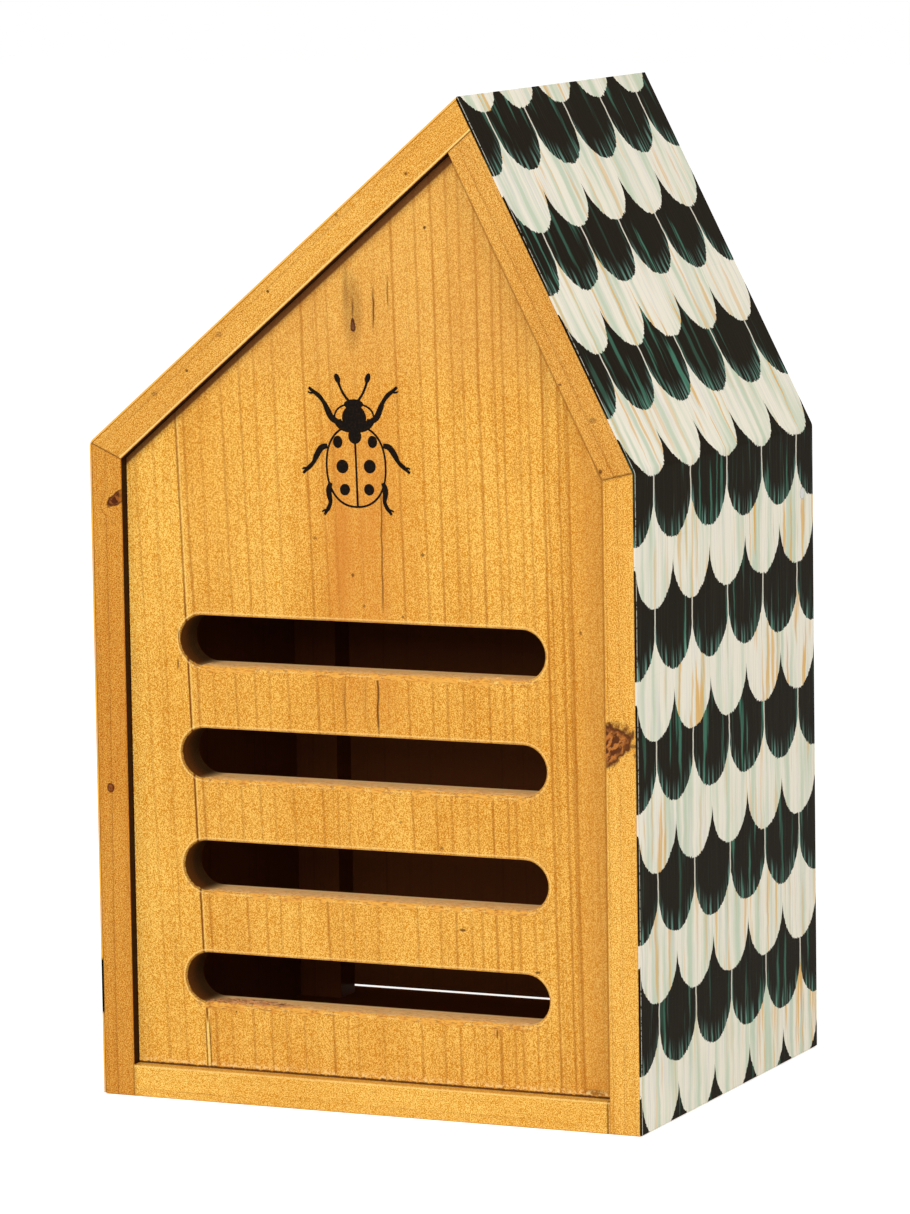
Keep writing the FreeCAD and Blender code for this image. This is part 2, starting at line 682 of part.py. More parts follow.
def back_door():
    """Rear door; its top edge is round about the pivot, so that it clears the gable as it swings."""
    body = doc.addObject("PartDesign::Body", "door_blank")
    sketch = attached_sketch(body, "door_section", "YZ_Plane")
    half = "sizes.back_thickness / 2"
    radius = value(half)
    foot = value("layout.door_bottom")
    pivot = FreeCAD.Vector(0, value("layout.pivot_z"), 0)
    inner_foot = FreeCAD.Vector(-radius, foot, 0)
    outer_foot = FreeCAD.Vector(radius, foot, 0)
    outer_top = pivot + FreeCAD.Vector(radius, 0, 0)
    inner_top = pivot - FreeCAD.Vector(radius, 0, 0)
    crown = Part.Circle(pivot, FreeCAD.Vector(0, 0, 1), radius)
    sketch.addGeometry(Part.LineSegment(inner_foot, outer_foot), False)
    sketch.addGeometry(Part.LineSegment(outer_foot, outer_top), False)
    sketch.addGeometry(Part.ArcOfCircle(crown, 0, math.pi), False)
    sketch.addGeometry(Part.LineSegment(inner_top, inner_foot), False)
    for edge in range(4):
        sketch.addConstraint(Sketcher.Constraint("Coincident", edge, 2, (edge + 1) % 4, 1))
    bind_point(sketch, 0, 1, f"-{half}", "layout.door_bottom")
    bind_point(sketch, 0, 2, half, "layout.door_bottom")
    bind_point(sketch, 2, 3, "0", "layout.pivot_z")
    bind_radius(sketch, 2, half)
    for tip in (1, 2):
        rule = Sketcher.Constraint("DistanceY", -1, 1, 2, tip, value("layout.pivot_z"))
        sketch.setExpression(f"Constraints[{sketch.addConstraint(rule)}]", "layout.pivot_z")
    slab = pad(body, sketch, "2 * layout.door_half")
    place(body, "0", "layout.back_middle_y", "0")
    doc.recompute()
    bottom = [face.CenterOfMass.z for face in slab.Shape.Faces]
    fillet(body, "door_eased", slab, [f"Face{bottom.index(min(bottom)) + 1}"], "sizes.edge_ease")
    return drilled("back_door", body)


def stop_strip(side):
    """Upright strip in a rear corner, which the door closes against and the gable is backed by."""
    hand = SIDES[side]
    wall = f"{side} * layout.inner_half"
    free = f"{side} * (layout.inner_half - sizes.stop_width)"
    corners = [
        (wall, "sizes.board_thickness"),
        (free, "sizes.board_thickness"),
        (free, "layout.stop_top"),
        (wall, "layout.stop_top"),
    ]
    blank = board(f"{hand}_stop_blank", corners, "sizes.stop_thickness", "layout.stop_middle_y")
    return drilled(f"{hand}_stop_strip", blank)


def turn_button():
    """Flat button that lies along the floor's edge, and turns up over the foot of the door."""
    body = doc.addObject("PartDesign::Body", "turn_button")
    pivot = ("0", "layout.button_z")
    tip = ("layout.button_reach", "layout.button_z")
    outline = obround_sketch(body, "button_outline", pivot, tip, "sizes.button_width / 2")
    plate = pad(body, outline, "sizes.button_thickness")
    place(body, "0", "layout.back_face_y + sizes.button_gap + sizes.button_thickness / 2", "0")
    doc.recompute()
    rear = end_faces(plate.Shape)[1:]
    fillet(body, "button_eased", plate, rear, "sizes.button_edge_radius")
    bore = "sizes.button_screw_radius + sizes.button_screw_clearance"
    body.Tip = pocket_through(body, circle_sketch(body, "button_bore", pivot, bore))
    return body


def keyhole_plate():
    """Steel hanger plate: a round entry with a neck above it, and a screw hole at each end."""
    body = doc.addObject("PartDesign::Body", "keyhole_plate")
    left = "sizes.plate_offset - sizes.plate_width / 2"
    right = "sizes.plate_offset + sizes.plate_width / 2"
    low = "layout.plate_middle_z - sizes.plate_height / 2"
    high = "layout.plate_middle_z + sizes.plate_height / 2"
    corners = [(left, low), (right, low), (right, high), (left, high)]
    blank = pad(body, polygon_sketch(body, "plate_outline", corners), "sizes.plate_thickness")
    place(body, "0", "layout.back_face_y + sizes.plate_thickness / 2", "0")
    doc.recompute()
    fillet(body, "plate_corners", blank, corner_edges(blank.Shape), "sizes.plate_corner_radius")
    entry = ("sizes.plate_offset", "layout.keyhole_z")
    neck = ("sizes.plate_offset", "layout.keyhole_z + sizes.keyhole_neck_rise")
    pocket_through(body, circle_sketch(body, "plate_entry", entry, "sizes.keyhole_entry_radius"))
    pocket_through(body, obround_sketch(body, "plate_neck", entry, neck, "sizes.keyhole_neck_radius"))
    for order, sign in enumerate(("-", "+")):
        centre = ("sizes.plate_offset", f"layout.plate_middle_z {sign} sizes.plate_screw_spacing / 2")
        hole = "sizes.plate_screw_radius + sizes.plate_screw_play"
        body.Tip = pocket_through(body, circle_sketch(body, f"plate_screw_hole_{order}", centre, hole))
    return body


def corner_edges(shape):
    """Names of a flat plate's edges along its thickness."""
    return [
        f"Edge{number}"
        for number, edge in enumerate(shape.Edges, start=1)
        if edge.BoundBox.XLength < NEAR and edge.BoundBox.ZLength < NEAR
    ]


# The printed covering


def print_sheet(side):
    """Glossy sheet bent over the eave, from near the ground to the ridge, with a hole for the nail head."""
    hand = SIDES[side]
    wall = f"{side} * layout.half_width"
    face = f"{side} * layout.print_half"
    bend = (face, f"layout.{hand}_print_eave")
    corners = [
        (wall, "sizes.print_foot_gap"),
        (face, "sizes.print_foot_gap"),
        bend,
        ("layout.print_ridge_x", "layout.print_ridge_z"),
        ("sizes.ridge_offset", "sizes.ridge_height"),
        (wall, f"sizes.{hand}_eave_height"),
    ]
    body = board(f"{hand}_print_blank", corners, "sizes.house_depth", "0")
    spot = (value(bend[0]), value(bend[1]))
    crease = bend_edge(body.Tip.Shape, spot)
    folded = fillet(body, f"{hand}_print_bend", body.Tip, [crease], "sizes.print_bend_radius")
    doc.recompute()
    fillet(body, f"{hand}_print_eased", folded, outer_edges(folded.Shape), "sizes.print_edge_radius")
    return drilled(f"{hand}_print_sheet", body)


def bend_edge(shape, spot):
    """Name of the edge along Y that passes through a point seen from the front."""
    for number, edge in enumerate(shape.Edges, start=1):
        middle = edge.CenterOfMass
        if edge.BoundBox.YLength > NEAR and math.dist((middle.x, middle.z), spot) < NEAR:
            return f"Edge{number}"
    raise RuntimeError("the print sheet has no bend edge")


def outer_edges(shape):
    """Names of the print sheet's front and rear edges, on its glossy side."""
    bend = next(face for face in shape.Faces if isinstance(face.Surface, Part.Cylinder))
    glossy = [face for face in shape.Faces if touches(face, bend)]
    ends = (shape.BoundBox.YMin, shape.BoundBox.YMax)
    names = []
    for number, edge in enumerate(shape.Edges, start=1):
        flat = edge.BoundBox.YLength < NEAR
        at_end = min(abs(edge.BoundBox.YMin - end) for end in ends) < NEAR
        if flat and at_end and any(edge.isSame(other) for face in glossy for other in face.Edges):
            names.append(f"Edge{number}")
    return names


def touches(face, bend):
    """Whether a face is the bend, or shares an edge along Y with it."""
    if face.isSame(bend):
        return True
    return any(
        edge.isSame(other) and edge.BoundBox.YLength > NEAR
        for edge in face.Edges
        for other in bend.Edges
    )


SUB_PARTS = FASTENERS + [
    floor_board(),
    side_wall(-1),
    side_wall(1),
    left_roof_board(),
    right_roof_board(),
    *front_staves(),
    back_gable(),
    back_door(),
    stop_strip(-1),
    stop_strip(1),
    print_sheet(-1),
    print_sheet(1),
    turn_button(),
    keyhole_plate(),
]

doc.recompute()

for item in doc.Objects:
    if "Invalid" in item.State or "Error" in item.State:
        raise RuntimeError(f"{item.Name} failed: {item.State}")
for part in SUB_PARTS:
    if part.Shape.isNull() or not part.Shape.isValid():
        raise RuntimeError(f"{part.Label} has no valid shape")

os.makedirs("parts", exist_ok=True)
for part in SUB_PARTS:
    part.Shape.exportStep(f"parts/{part.Label}.step")
    print(f"{part.Label}: {len(part.Shape.Solids)} solids, {part.Shape.Volume:.0f} mm3")
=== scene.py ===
# %% [markdown]
# # Dressing a ladybug house
# This lesson gives a finished look to a small garden shelter for ladybirds: a pine box with four entry
# slots, a lopsided roof and a glossy printed covering on its sides. The parts come packed from the CAD
# model, at their real size in metres, and they stay where they are. What is added here is the finish of
# each surface and the few things that are too thin or too ragged to be machined parts: ink, fibres and
# splinters.

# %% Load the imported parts
import math

import bmesh
import bpy
import numpy as np
from mathutils import Matrix, Vector


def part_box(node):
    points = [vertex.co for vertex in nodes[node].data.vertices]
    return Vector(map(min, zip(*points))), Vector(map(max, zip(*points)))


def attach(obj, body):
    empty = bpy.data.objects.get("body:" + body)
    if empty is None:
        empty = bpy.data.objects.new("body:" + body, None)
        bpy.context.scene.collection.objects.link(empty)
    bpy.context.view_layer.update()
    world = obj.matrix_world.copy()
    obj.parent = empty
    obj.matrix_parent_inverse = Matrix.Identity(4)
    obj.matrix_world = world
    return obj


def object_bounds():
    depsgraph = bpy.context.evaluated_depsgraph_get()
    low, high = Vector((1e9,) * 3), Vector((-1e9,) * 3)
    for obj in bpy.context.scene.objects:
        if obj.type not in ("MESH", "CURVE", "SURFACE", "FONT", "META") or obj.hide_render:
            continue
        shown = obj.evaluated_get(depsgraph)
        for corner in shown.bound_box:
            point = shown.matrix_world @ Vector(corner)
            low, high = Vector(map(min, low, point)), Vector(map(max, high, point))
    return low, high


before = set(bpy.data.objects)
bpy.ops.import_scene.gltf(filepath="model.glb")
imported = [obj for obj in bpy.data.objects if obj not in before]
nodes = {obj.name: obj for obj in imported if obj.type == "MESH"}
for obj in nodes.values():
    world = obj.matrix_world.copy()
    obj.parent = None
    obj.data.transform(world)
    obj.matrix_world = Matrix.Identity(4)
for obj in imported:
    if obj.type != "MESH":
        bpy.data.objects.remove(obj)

cad_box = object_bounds()
MM = 0.001
print("parts loaded:", len(nodes))

# %% [markdown]
# Every finish below follows the boards, so the few measures that they share are read from the parts
# themselves: the outer faces of the walls, the eaves, the ridge and the planes along the depth. Working in
# millimetres keeps the numbers plain.


# %% Measure the house
def corners(name):
    """Lowest and highest corner of a part, in millimetres."""
    low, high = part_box(name)
    return np.array(low) / MM, np.array(high) / MM


def highest_point(name):
    """The vertex of a part with the largest height, in millimetres."""
    places = np.empty(len(nodes[name].data.vertices) * 3)
    nodes[name].data.vertices.foreach_get("co", places)
    places = places.reshape(-1, 3)
    return places[places[:, 2].argmax()] / MM


left_wall_low, left_wall_high = corners("left_wall")
right_wall_high = corners("right_wall")[1]
floor_low, floor_high = corners("floor_board")
panel_low, panel_high = corners("front_wide_stave")
door_high = corners("back_door")[1]
ridge = highest_point("left_roof_board")

HALF_WIDTH = right_wall_high[0]
BOARD = floor_high[2] - floor_low[2]
FRONT_Y = left_wall_low[1]
PANEL_Y = panel_low[1]
PANEL_FOOT = panel_low[2]
LEFT_EAVE = left_wall_high[2]
RIGHT_EAVE = right_wall_high[2]
LEFT_SLOPE = math.atan2(ridge[2] - LEFT_EAVE, ridge[0] + HALF_WIDTH)
RIGHT_SLOPE = math.atan2(ridge[2] - RIGHT_EAVE, HALF_WIDTH - ridge[0])
print(f"slopes {math.degrees(LEFT_SLOPE):.1f} and {math.degrees(RIGHT_SLOPE):.1f} degrees")
print(f"boards {BOARD:.1f} mm thick")

# %% [markdown]
# A product photograph like this is taken from some distance with a long lens, which keeps upright edges
# nearly parallel. The camera stands to the right of the front and higher than the ridge, and it is rolled
# by less than a degree. Its place and angles were solved from the corners of the box, and the lens follows
# from the focal length in pixels, because the image is 1214 pixels on its long side.

# %% Camera
IMAGE_LONG_SIDE = 1214
FOCAL_PIXELS = 6363
SENSOR = 36.0
CAMERA_PLACE = (0.7890, -1.7324, 0.3945)
CAMERA_YAW, CAMERA_DROP, CAMERA_ROLL = 24.52, 7.55, -0.87

lens = bpy.data.cameras.new("camera")
lens.sensor_width = SENSOR
lens.lens = FOCAL_PIXELS * SENSOR / IMAGE_LONG_SIDE
camera = bpy.data.objects.new("camera", lens)
bpy.context.collection.objects.link(camera)
turn = Matrix.Rotation(math.radians(CAMERA_YAW), 4, "Z")
tilt = Matrix.Rotation(math.radians(90 - CAMERA_DROP), 4, "X")
roll = Matrix.Rotation(math.radians(CAMERA_ROLL), 4, "Z")
camera.matrix_world = Matrix.Translation(CAMERA_PLACE) @ turn @ tilt @ roll
bpy.context.scene.camera = camera
print(f"lens {lens.lens:.1f} mm")

# %% [markdown]
# A node material is a formula drawn as boxes and wires. Writing each box by hand takes many lines, so this
# small class lets a formula be written as one: a sign between two values adds one Math node. Everything
# that it makes is an ordinary node that can be opened in the shader editor.


# %% A short way to write node formulas
def feed(slot, value):
    """Wire a value into a socket, or set a plain number or colour on it."""
    if isinstance(value, Value):
        value.tree.links.new(value.socket, slot)
    else:
        slot.default_value = value


class Value:
    """Something that changes over a surface. A sign between two values adds one Math node."""

    def __init__(self, tree, socket):
        self.tree = tree
        self.socket = socket

    def math(self, operation, *others):
        """This value put through a Math node, with any others as its further inputs."""
        node = self.tree.nodes.new("ShaderNodeMath")
        node.operation = operation
        for slot, value in zip(node.inputs, (self, *others)):
            feed(slot, value)
        return Value(self.tree, node.outputs[0])

    def __add__(self, other):
        return self.math("ADD", other)

    def __sub__(self, other):
        return self.math("SUBTRACT", other)

    def __rsub__(self, other):
        return (self * -1.0) + other

    def __mul__(self, other):
        return self.math("MULTIPLY", other)

    def __truediv__(self, other):
        return self.math("DIVIDE", other)

    def __mod__(self, other):
        return self.math("FLOORED_MODULO", other)

    __radd__ = __add__
    __rmul__ = __mul__

    def floor(self):
        """The whole number below this value."""
        return self.math("FLOOR")

    def rise(self, low, high):
        """Zero below low, one above high, and a smooth step between them."""
        node = self.tree.nodes.new("ShaderNodeMapRange")
        node.interpolation_type = "SMOOTHSTEP"
        for title, value in (("Value", self), ("From Min", low), ("From Max", high)):
            feed(node.inputs[title], value)
        return Value(self.tree, node.outputs["Result"])

    def fall(self, low, high):
        """One below low, zero above high: the same step with its ends changed over."""
        return self.rise(high, low)

    def near(self, centre, reach):
        """One at the centre, falling smoothly to zero at the given reach on either side."""
        return (self - centre).math("ABSOLUTE").fall(0.0, reach)


print("node formulas ready")

# %% [markdown]
# The photograph has a white ground and soft, even light. The world gives an even light from all sides. What
# the camera and the reflections see of it is plain white, while the light that it casts is set apart, so
# the object keeps its own colours.

# %% World
bpy.context.scene.view_settings.view_transform = "Standard"
WORLD_LIGHT = 0.55
SEEN_WHITE = 1.0

world = bpy.data.worlds.new("studio")
bpy.context.scene.world = world
world.use_nodes = True


def seen_directly(tree):
    """One where a ray comes from the camera, a reflection or glass, and zero where it only lights."""
    path = tree.nodes.new("ShaderNodeLightPath")
    kinds = ("Is Camera Ray", "Is Glossy Ray", "Is Transmission Ray")
    by_camera, by_mirror, by_glass = (Value(tree, path.outputs[kind]) for kind in kinds)
    return by_camera.math("MAXIMUM", by_mirror).math("MAXIMUM", by_glass)


sky = world.node_tree.nodes["Background"]
feed(sky.inputs["Color"], (1, 1, 1, 1))
feed(sky.inputs["Strength"], seen_directly(world.node_tree) * (SEEN_WHITE - WORLD_LIGHT) + WORLD_LIGHT)
print("world: white to the eye, a light of", WORLD_LIGHT)

# %% [markdown]
# One broad lamp in front and a weaker one to the right give the boards their shape. The larger a lamp, the
# softer its shadows, so both are squares a metre wide.

# %% Lamps
LAMP_SIZE = 1.0


def soft_lamp(name, place, power):
    """Square lamp that looks at the middle of the house."""
    data = bpy.data.lights.new(name, "AREA")
    data.size = LAMP_SIZE
    data.energy = power
    lamp = bpy.data.objects.new(name, data)
    bpy.context.collection.objects.link(lamp)
    aim = (cad_box[0] + cad_box[1]) / 2 - Vector(place)
    lamp.matrix_world = Matrix.Translation(place) @ aim.to_track_quat("-Z", "Y").to_matrix().to_4x4()


soft_lamp("key_lamp", (0.3, -2.0, 1.0), 26)
soft_lamp("side_lamp", (1.9, -0.9, 0.9), 9)
print("two lamps of", LAMP_SIZE, "m")

# %% [markdown]
# The floor is a plain white sheet. It keeps the soft shadow at the foot of the box, and a little light of
# its own, which only the camera and the reflections see, lifts the rest of it to white.

# %% Floor
FLOOR_REACH = 6.0
FLOOR_LIFT = 0.62

floor_mesh = bpy.data.meshes.new("studio_floor")
square = np.array([(-1, -1, 0), (1, -1, 0), (1, 1, 0), (-1, 1, 0)]) * FLOOR_REACH
floor_mesh.from_pydata(square.tolist(), [], [(0, 1, 2, 3)])
studio_floor = bpy.data.objects.new("studio_floor", floor_mesh)
bpy.context.collection.objects.link(studio_floor)

floor_paint = bpy.data.materials.new("studio_white")
floor_paint.use_nodes = True
floor_shader = floor_paint.node_tree.nodes["Principled BSDF"]
floor_finish = {
    "Base Color": (0.82, 0.82, 0.82, 1),
    "Roughness": 0.9,
    "Specular IOR Level": 0.0,
    "Emission Color": (1, 1, 1, 1),
    "Emission Strength": seen_directly(floor_paint.node_tree) * FLOOR_LIFT,
}
for title, value in floor_finish.items():
    feed(floor_shader.inputs[title], value)
floor_mesh.materials.append(floor_paint)
print("floor laid")

# %% [markdown]
# Wood and print need chance as well as formulas. A picture of wood would repeat and blur, so chance comes
# from nodes too. A noise node gives a smooth, cloudy number at every place, and white noise gives one fixed
# number to each ring or scale.


# %% Noise
def spread(x, y, z):
    """Vector from three values, at least one of them wired."""
    tree = next(item.tree for item in (x, y, z) if isinstance(item, Value))
    node = tree.nodes.new("ShaderNodeCombineXYZ")
    for slot, value in zip(node.inputs, (x, y, z)):
        feed(slot, value)
    return Value(tree, node.outputs[0])


def noise(x, y, z, detail=2.0, rough=0.5):
    """Smooth noise around one half, at three coordinates that are already in units of its grain."""
    place = spread(x, y, z)
    node = place.tree.nodes.new("ShaderNodeTexNoise")
    feed(node.inputs["Vector"], place)
    feed(node.inputs["Scale"], 1.0)
    feed(node.inputs["Detail"], detail)
    feed(node.inputs["Roughness"], rough)
    return Value(place.tree, node.outputs[0])


def sway(reach, x, y, z, detail=2.0):
    """Smooth noise around zero that goes up to half its reach to either side."""
    return (noise(x, y, z, detail) - 0.5) * reach


def chance(x, y=0.0):
    """A number from zero to one that stays the same wherever both arguments do."""
    place = spread(x, y, 0.0)
    node = place.tree.nodes.new("ShaderNodeTexWhiteNoise")
    node.noise_dimensions = "2D"
    feed(node.inputs["Vector"], place)
    return Value(place.tree, node.outputs["Value"])


print("noise helpers ready")

# %% [markdown]
# Colours are laid over each other like coats of stain: a mask says where the next one covers the last, and
# how strongly. Other helpers dim a colour or look at it through a filter. A colour is written as a colour
# picker shows it and then made linear, because a shader adds up light.


# %% Colour
def mix(share, first, second):
    """Colour between two colours: the first where the share is zero, the second where it is one."""
    node = share.tree.nodes.new("ShaderNodeMix")
    node.data_type = "RGBA"
    feed(node.inputs[0], share)
    for slot, colour in zip(node.inputs[6:8], (first, second)):
        feed(slot, colour)
    return Value(share.tree, node.outputs[2])


def layered(colour, *layers):
    """Colour with others laid over it in turn; a layer is a mask and the colour that it brings."""
    for mask, over in layers:
        colour = mix(mask, colour, over)
    return colour


def dim(colour, factor):
    """Colour times a number, at least one of them wired."""
    tree = next(item.tree for item in (colour, factor) if isinstance(item, Value))
    node = tree.nodes.new("ShaderNodeVectorMath")
    node.operation = "SCALE"
    feed(node.inputs[0], colour if isinstance(colour, Value) else colour[:3])
    feed(node.inputs["Scale"], factor)
    return Value(tree, node.outputs[0])


def times(colour, filter_colour):
    """Wired colour times another colour, channel by channel, like light through a filter."""
    node = colour.tree.nodes.new("ShaderNodeVectorMath")
    node.operation = "MULTIPLY"
    feed(node.inputs[0], colour)
    feed(node.inputs[1], filter_colour)
    return Value(colour.tree, node.outputs[0])


def tint(red, green, blue):
    """Opaque linear colour from the three numbers that a colour picker shows, each from 0 to 255."""
    shares = (np.array((red, green, blue)) / 255 + 0.055) / 1.055
    return (*(shares**2.4), 1.0)


print("colour helpers ready")

# %% [markdown]
# An effect that several materials share is built once, as a node group with named sockets, and placed in
# each material with its own values. Every material starts in the same way: it reads the place on the part
# from Object coordinates, which are in metres, and turns it into millimetres.

# %% Groups and materials
NUMBER, COLOUR = "NodeSocketFloat", "NodeSocketColor"


def start_group(name, inputs, outputs):
    """Empty node group with named sockets; gives its tree, its inputs as values and its output node."""
    tree = bpy.data.node_groups.new(name, "ShaderNodeTree")
    for title, kind in inputs.items():
        tree.interface.new_socket(title, in_out="INPUT", socket_type=kind)
    for title, kind in outputs.items():
        tree.interface.new_socket(title, in_out="OUTPUT", socket_type=kind)
    entry = tree.nodes.new("NodeGroupInput")
    exit_node = tree.nodes.new("NodeGroupOutput")
    given = {title: Value(tree, entry.outputs[title]) for title in inputs}
    return tree, given, exit_node


def use_group(tree, group, values):
    """Place a group in a tree with its values; gives its outputs by name."""
    node = tree.nodes.new("ShaderNodeGroup")
    node.node_tree = group
    for title, value in values.items():
        feed(node.inputs[title], value)
    return {socket.name: Value(tree, socket) for socket in node.outputs}


def start_material(name):
    """New material; gives it, its Principled shader and the place on the part in millimetres, as x, y, z."""
    material = bpy.data.materials.new(name)
    material.use_nodes = True
    tree = material.node_tree
    where = tree.nodes.new("ShaderNodeTexCoord")
    split = tree.nodes.new("ShaderNodeSeparateXYZ")
    tree.links.new(where.outputs["Object"], split.inputs[0])
    place = [Value(tree, socket) / MM for socket in split.outputs]
    return material, tree.nodes["Principled BSDF"], place


def paint(shader, colour, roughness, gloss):
    """Wire a colour and a roughness into a shader, and set how strongly its surface reflects."""
    feed(shader.inputs["Base Color"], colour)
    feed(shader.inputs["Roughness"], roughness)
    feed(shader.inputs["Specular IOR Level"], gloss)


def roughen(shader, height, depth):
    """Bump from a height between zero and one; depth is what one unit of it measures, in millimetres."""
    bump = height.tree.nodes.new("ShaderNodeBump")
    feed(bump.inputs["Height"], height)
    feed(bump.inputs["Distance"], depth * MM)
    height.tree.links.new(bump.outputs["Normal"], shader.inputs["Normal"])


print("group and material helpers ready")

# %% [markdown]
# Pine grows a pale, soft band each spring and a thin, dark one each summer. A sawn board cuts through these
# bands, so its face shows lines along the grain, now wide apart, now close. The group below starts from a
# ring coordinate that runs across the board and also into it, so that the lines carry on round the edges.
# Slow noise makes them wander, and the part after the decimal point gives each ring its ramp from pale to
# dark. Fibres, short flecks, a fine speckle and the cloudy uptake of the stain lie over the rings.

# %% Pine grain, shared by all the boards
# what a dark and a pale grain of stain do to the colour of the wood, channel by channel
GRIT_DARK = (0.74, 0.52, 0.05, 1.0)
GRIT_PALE = (1.15, 1.38, 2.15, 1.0)
# beyond Dense From one more ring comes in every so many millimetres
DENSE_SPACING = 3.4
PINE_PLACE = ("Across", "Inward", "Along", "Seed")
PINE_RINGS = ("Ring Spacing", "Ring Tilt", "Line Strength", "Dense From")
PINE_COLOURS = ("Light", "Deep", "Line")
PINE_INPUTS = {**dict.fromkeys(PINE_PLACE + PINE_RINGS, NUMBER), **dict.fromkeys(PINE_COLOURS, COLOUR)}
PINE_OUTPUTS = {"Colour": COLOUR, "Height": NUMBER}
pine, given, pine_out = start_group("pine_grain", PINE_INPUTS, PINE_OUTPUTS)
across, inward, along, seed = (given[name] for name in PINE_PLACE)
spacing, tilt, line_strength, dense_from = (given[name] for name in PINE_RINGS)

drift = sway(8.0, across / 60.0, seed, along / 330.0)
ripple = sway(1.1, across / 9.0, seed + 4.0, along / 50.0)
ring = across + inward * tilt + drift + ripple
crowding = (across - dense_from).math("MAXIMUM", 0.0) / DENSE_SPACING
phase = ring / spacing + crowding + noise(ring / 24.0, seed, 0.0) * 3.0
number = phase.floor()
ramp = phase - number
luck = chance(number, seed)
rings_per_mm = spacing.math("POWER", -1.0) + across.rise(dense_from, dense_from + 2.0) / DENSE_SPACING
summer_line = ((1.0 - ramp) / rings_per_mm).fall(0.2, 1.1)
broken = noise(ring * 0.8, seed + 8.0, along * 0.05, detail=2.0).rise(0.25, 0.6)
line = summer_line * broken * (luck * luck * 0.75 + 0.25) + ramp.rise(0.3, 1.0) * luck * 0.2
fibre = noise(across * 2.2, inward * 2.2 + seed, along * 0.035, detail=3.0)
fleck = noise(across * 2.4, inward * 2.4 + seed, along * 0.32, detail=1.0).rise(0.64, 0.76)
turned = (across * 2.8 + along * 2.1, inward * 3.4 + seed + 0.37, along * 2.6 - across * 2.2)
grit = noise(*turned, detail=1.0, rough=0.6).rise(0.36, 0.64)
cloud = noise(across / 20.0, inward / 20.0 + seed, along / 75.0).rise(0.3, 0.7)

wood = layered(
    given["Light"],
    (cloud, given["Deep"]),
    (line * line_strength, given["Line"]),
    (fibre.rise(0.45, 0.75) * 0.2, given["Line"]),
    (fleck * 0.3, given["Line"]),
)
feed(pine_out.inputs["Colour"], times(wood, mix(grit, GRIT_DARK, GRIT_PALE)))
feed(pine_out.inputs["Height"], fibre * 0.5 + grit * 0.2 - line * 0.5 - fleck * 0.4)
print("pine grain:", len(pine.nodes), "nodes")

# %% [markdown]
# A knot is the root of a branch. On a board it is a dark spot with a darker rim, cracked inside, and the
# grain parts to go round it. The group measures how far a point lies from the knot in units of the knot's
# own size, roughened by noise. That one number gives the core, the rim and how far to push the grain aside.

# %% Knot, shared by the boards that have one
KNOT_SHAPE = ("Centre Across", "Centre Along", "Half Width", "Half Height", "Slant", "Narrowing")
KNOT_INPUTS = dict.fromkeys(("Across", "Along") + KNOT_SHAPE, NUMBER)
KNOT_OUTPUTS = dict.fromkeys(("Core", "Rim", "Push"), NUMBER)
knot, given, knot_out = start_group("knot", KNOT_INPUTS, KNOT_OUTPUTS)
off_centre = given["Along"] - given["Centre Along"]
sideways = given["Across"] - given["Centre Across"]
upwards = off_centre - sideways * given["Slant"]
share_up = upwards / given["Half Height"]
share_aside = sideways / (given["Half Width"] * (share_up * given["Narrowing"] + 1.0).math("MAXIMUM", 0.15))
reach = (share_aside * share_aside + share_up * share_up).math("SQRT")
ragged = sway(0.7, given["Across"] * 0.55, given["Along"] * 0.4, 0.0, detail=3.0)
distance = reach + ragged
slanting = given["Across"] * 0.5 + given["Along"] * 0.25
cracks = noise(slanting, given["Along"] * 0.35, 5.0, detail=3.0).rise(0.45, 0.55)
feed(knot_out.inputs["Core"], distance.fall(0.85, 1.1))
feed(knot_out.inputs["Rim"], distance.near(0.92, 0.3).math("MAXIMUM", distance.fall(0.6, 0.95) * cracks))
feed(knot_out.inputs["Push"], sideways * distance.fall(0.4, 2.6) * -0.45)


def place_knots(across, along, shapes, shown=1.0):
    """Knots on a board, each given by its shape; gives their masks and how far all of them push the grain."""
    marks, push = [], 0.0
    for shape in shapes:
        given_shape = dict(zip(KNOT_SHAPE, shape))
        made = use_group(across.tree, knot, {"Across": across, "Along": along, **given_shape})
        marks.append({title: mask * shown for title, mask in made.items()})
        push = marks[-1]["Push"] + push
    return marks, push


print("knot:", len(knot.nodes), "nodes")

# %% [markdown]
# All the boards are the same stained pine, but each was cut from another plank. A board therefore has its
# own frame: how far a point lies along the grain, across it and into the wood. For the walls, the roof and
# the floor that frame is the same formula with another angle, because each is a plank that starts at a
# corner of the box and runs off at a slope. The two side walls run at 90 degrees and the floor at 180.


# %% The frames of the boards
def plank_frame(place, side, foot, angle):
    """Across, inward and along for a plank that starts on a wall's outer face at a height, at an angle."""
    x, y, z = place
    outward = x * side * -1.0 + HALF_WIDTH
    up = z - foot
    along_plank = outward * math.cos(angle) + up * math.sin(angle)
    into_plank = outward * math.sin(angle) - up * math.cos(angle)
    return y - FRONT_Y, into_plank, along_plank


PLANKS = {
    "left_wall": (-1, 0.0, math.pi / 2),
    "right_wall": (1, 0.0, math.pi / 2),
    "left_roof_board": (-1, LEFT_EAVE, LEFT_SLOPE),
    "right_roof_board": (1, RIGHT_EAVE, RIGHT_SLOPE),
    "floor_board": (-1, 0.0, math.pi),
}
print("plank frames:", ", ".join(PLANKS))

# %% [markdown]
# Knots and seams make the planks differ. A seam is the dark line where one board meets the next, and it is
# found from the frames of both, so it follows them. The knots are a short list: they were picked in the
# photograph, one by one, and carried over to the boards through the camera.

# %% Knots and seams of the planks
KNOT_BROWN = tint(70, 28, 12)
KNOT_RED = tint(140, 74, 34)
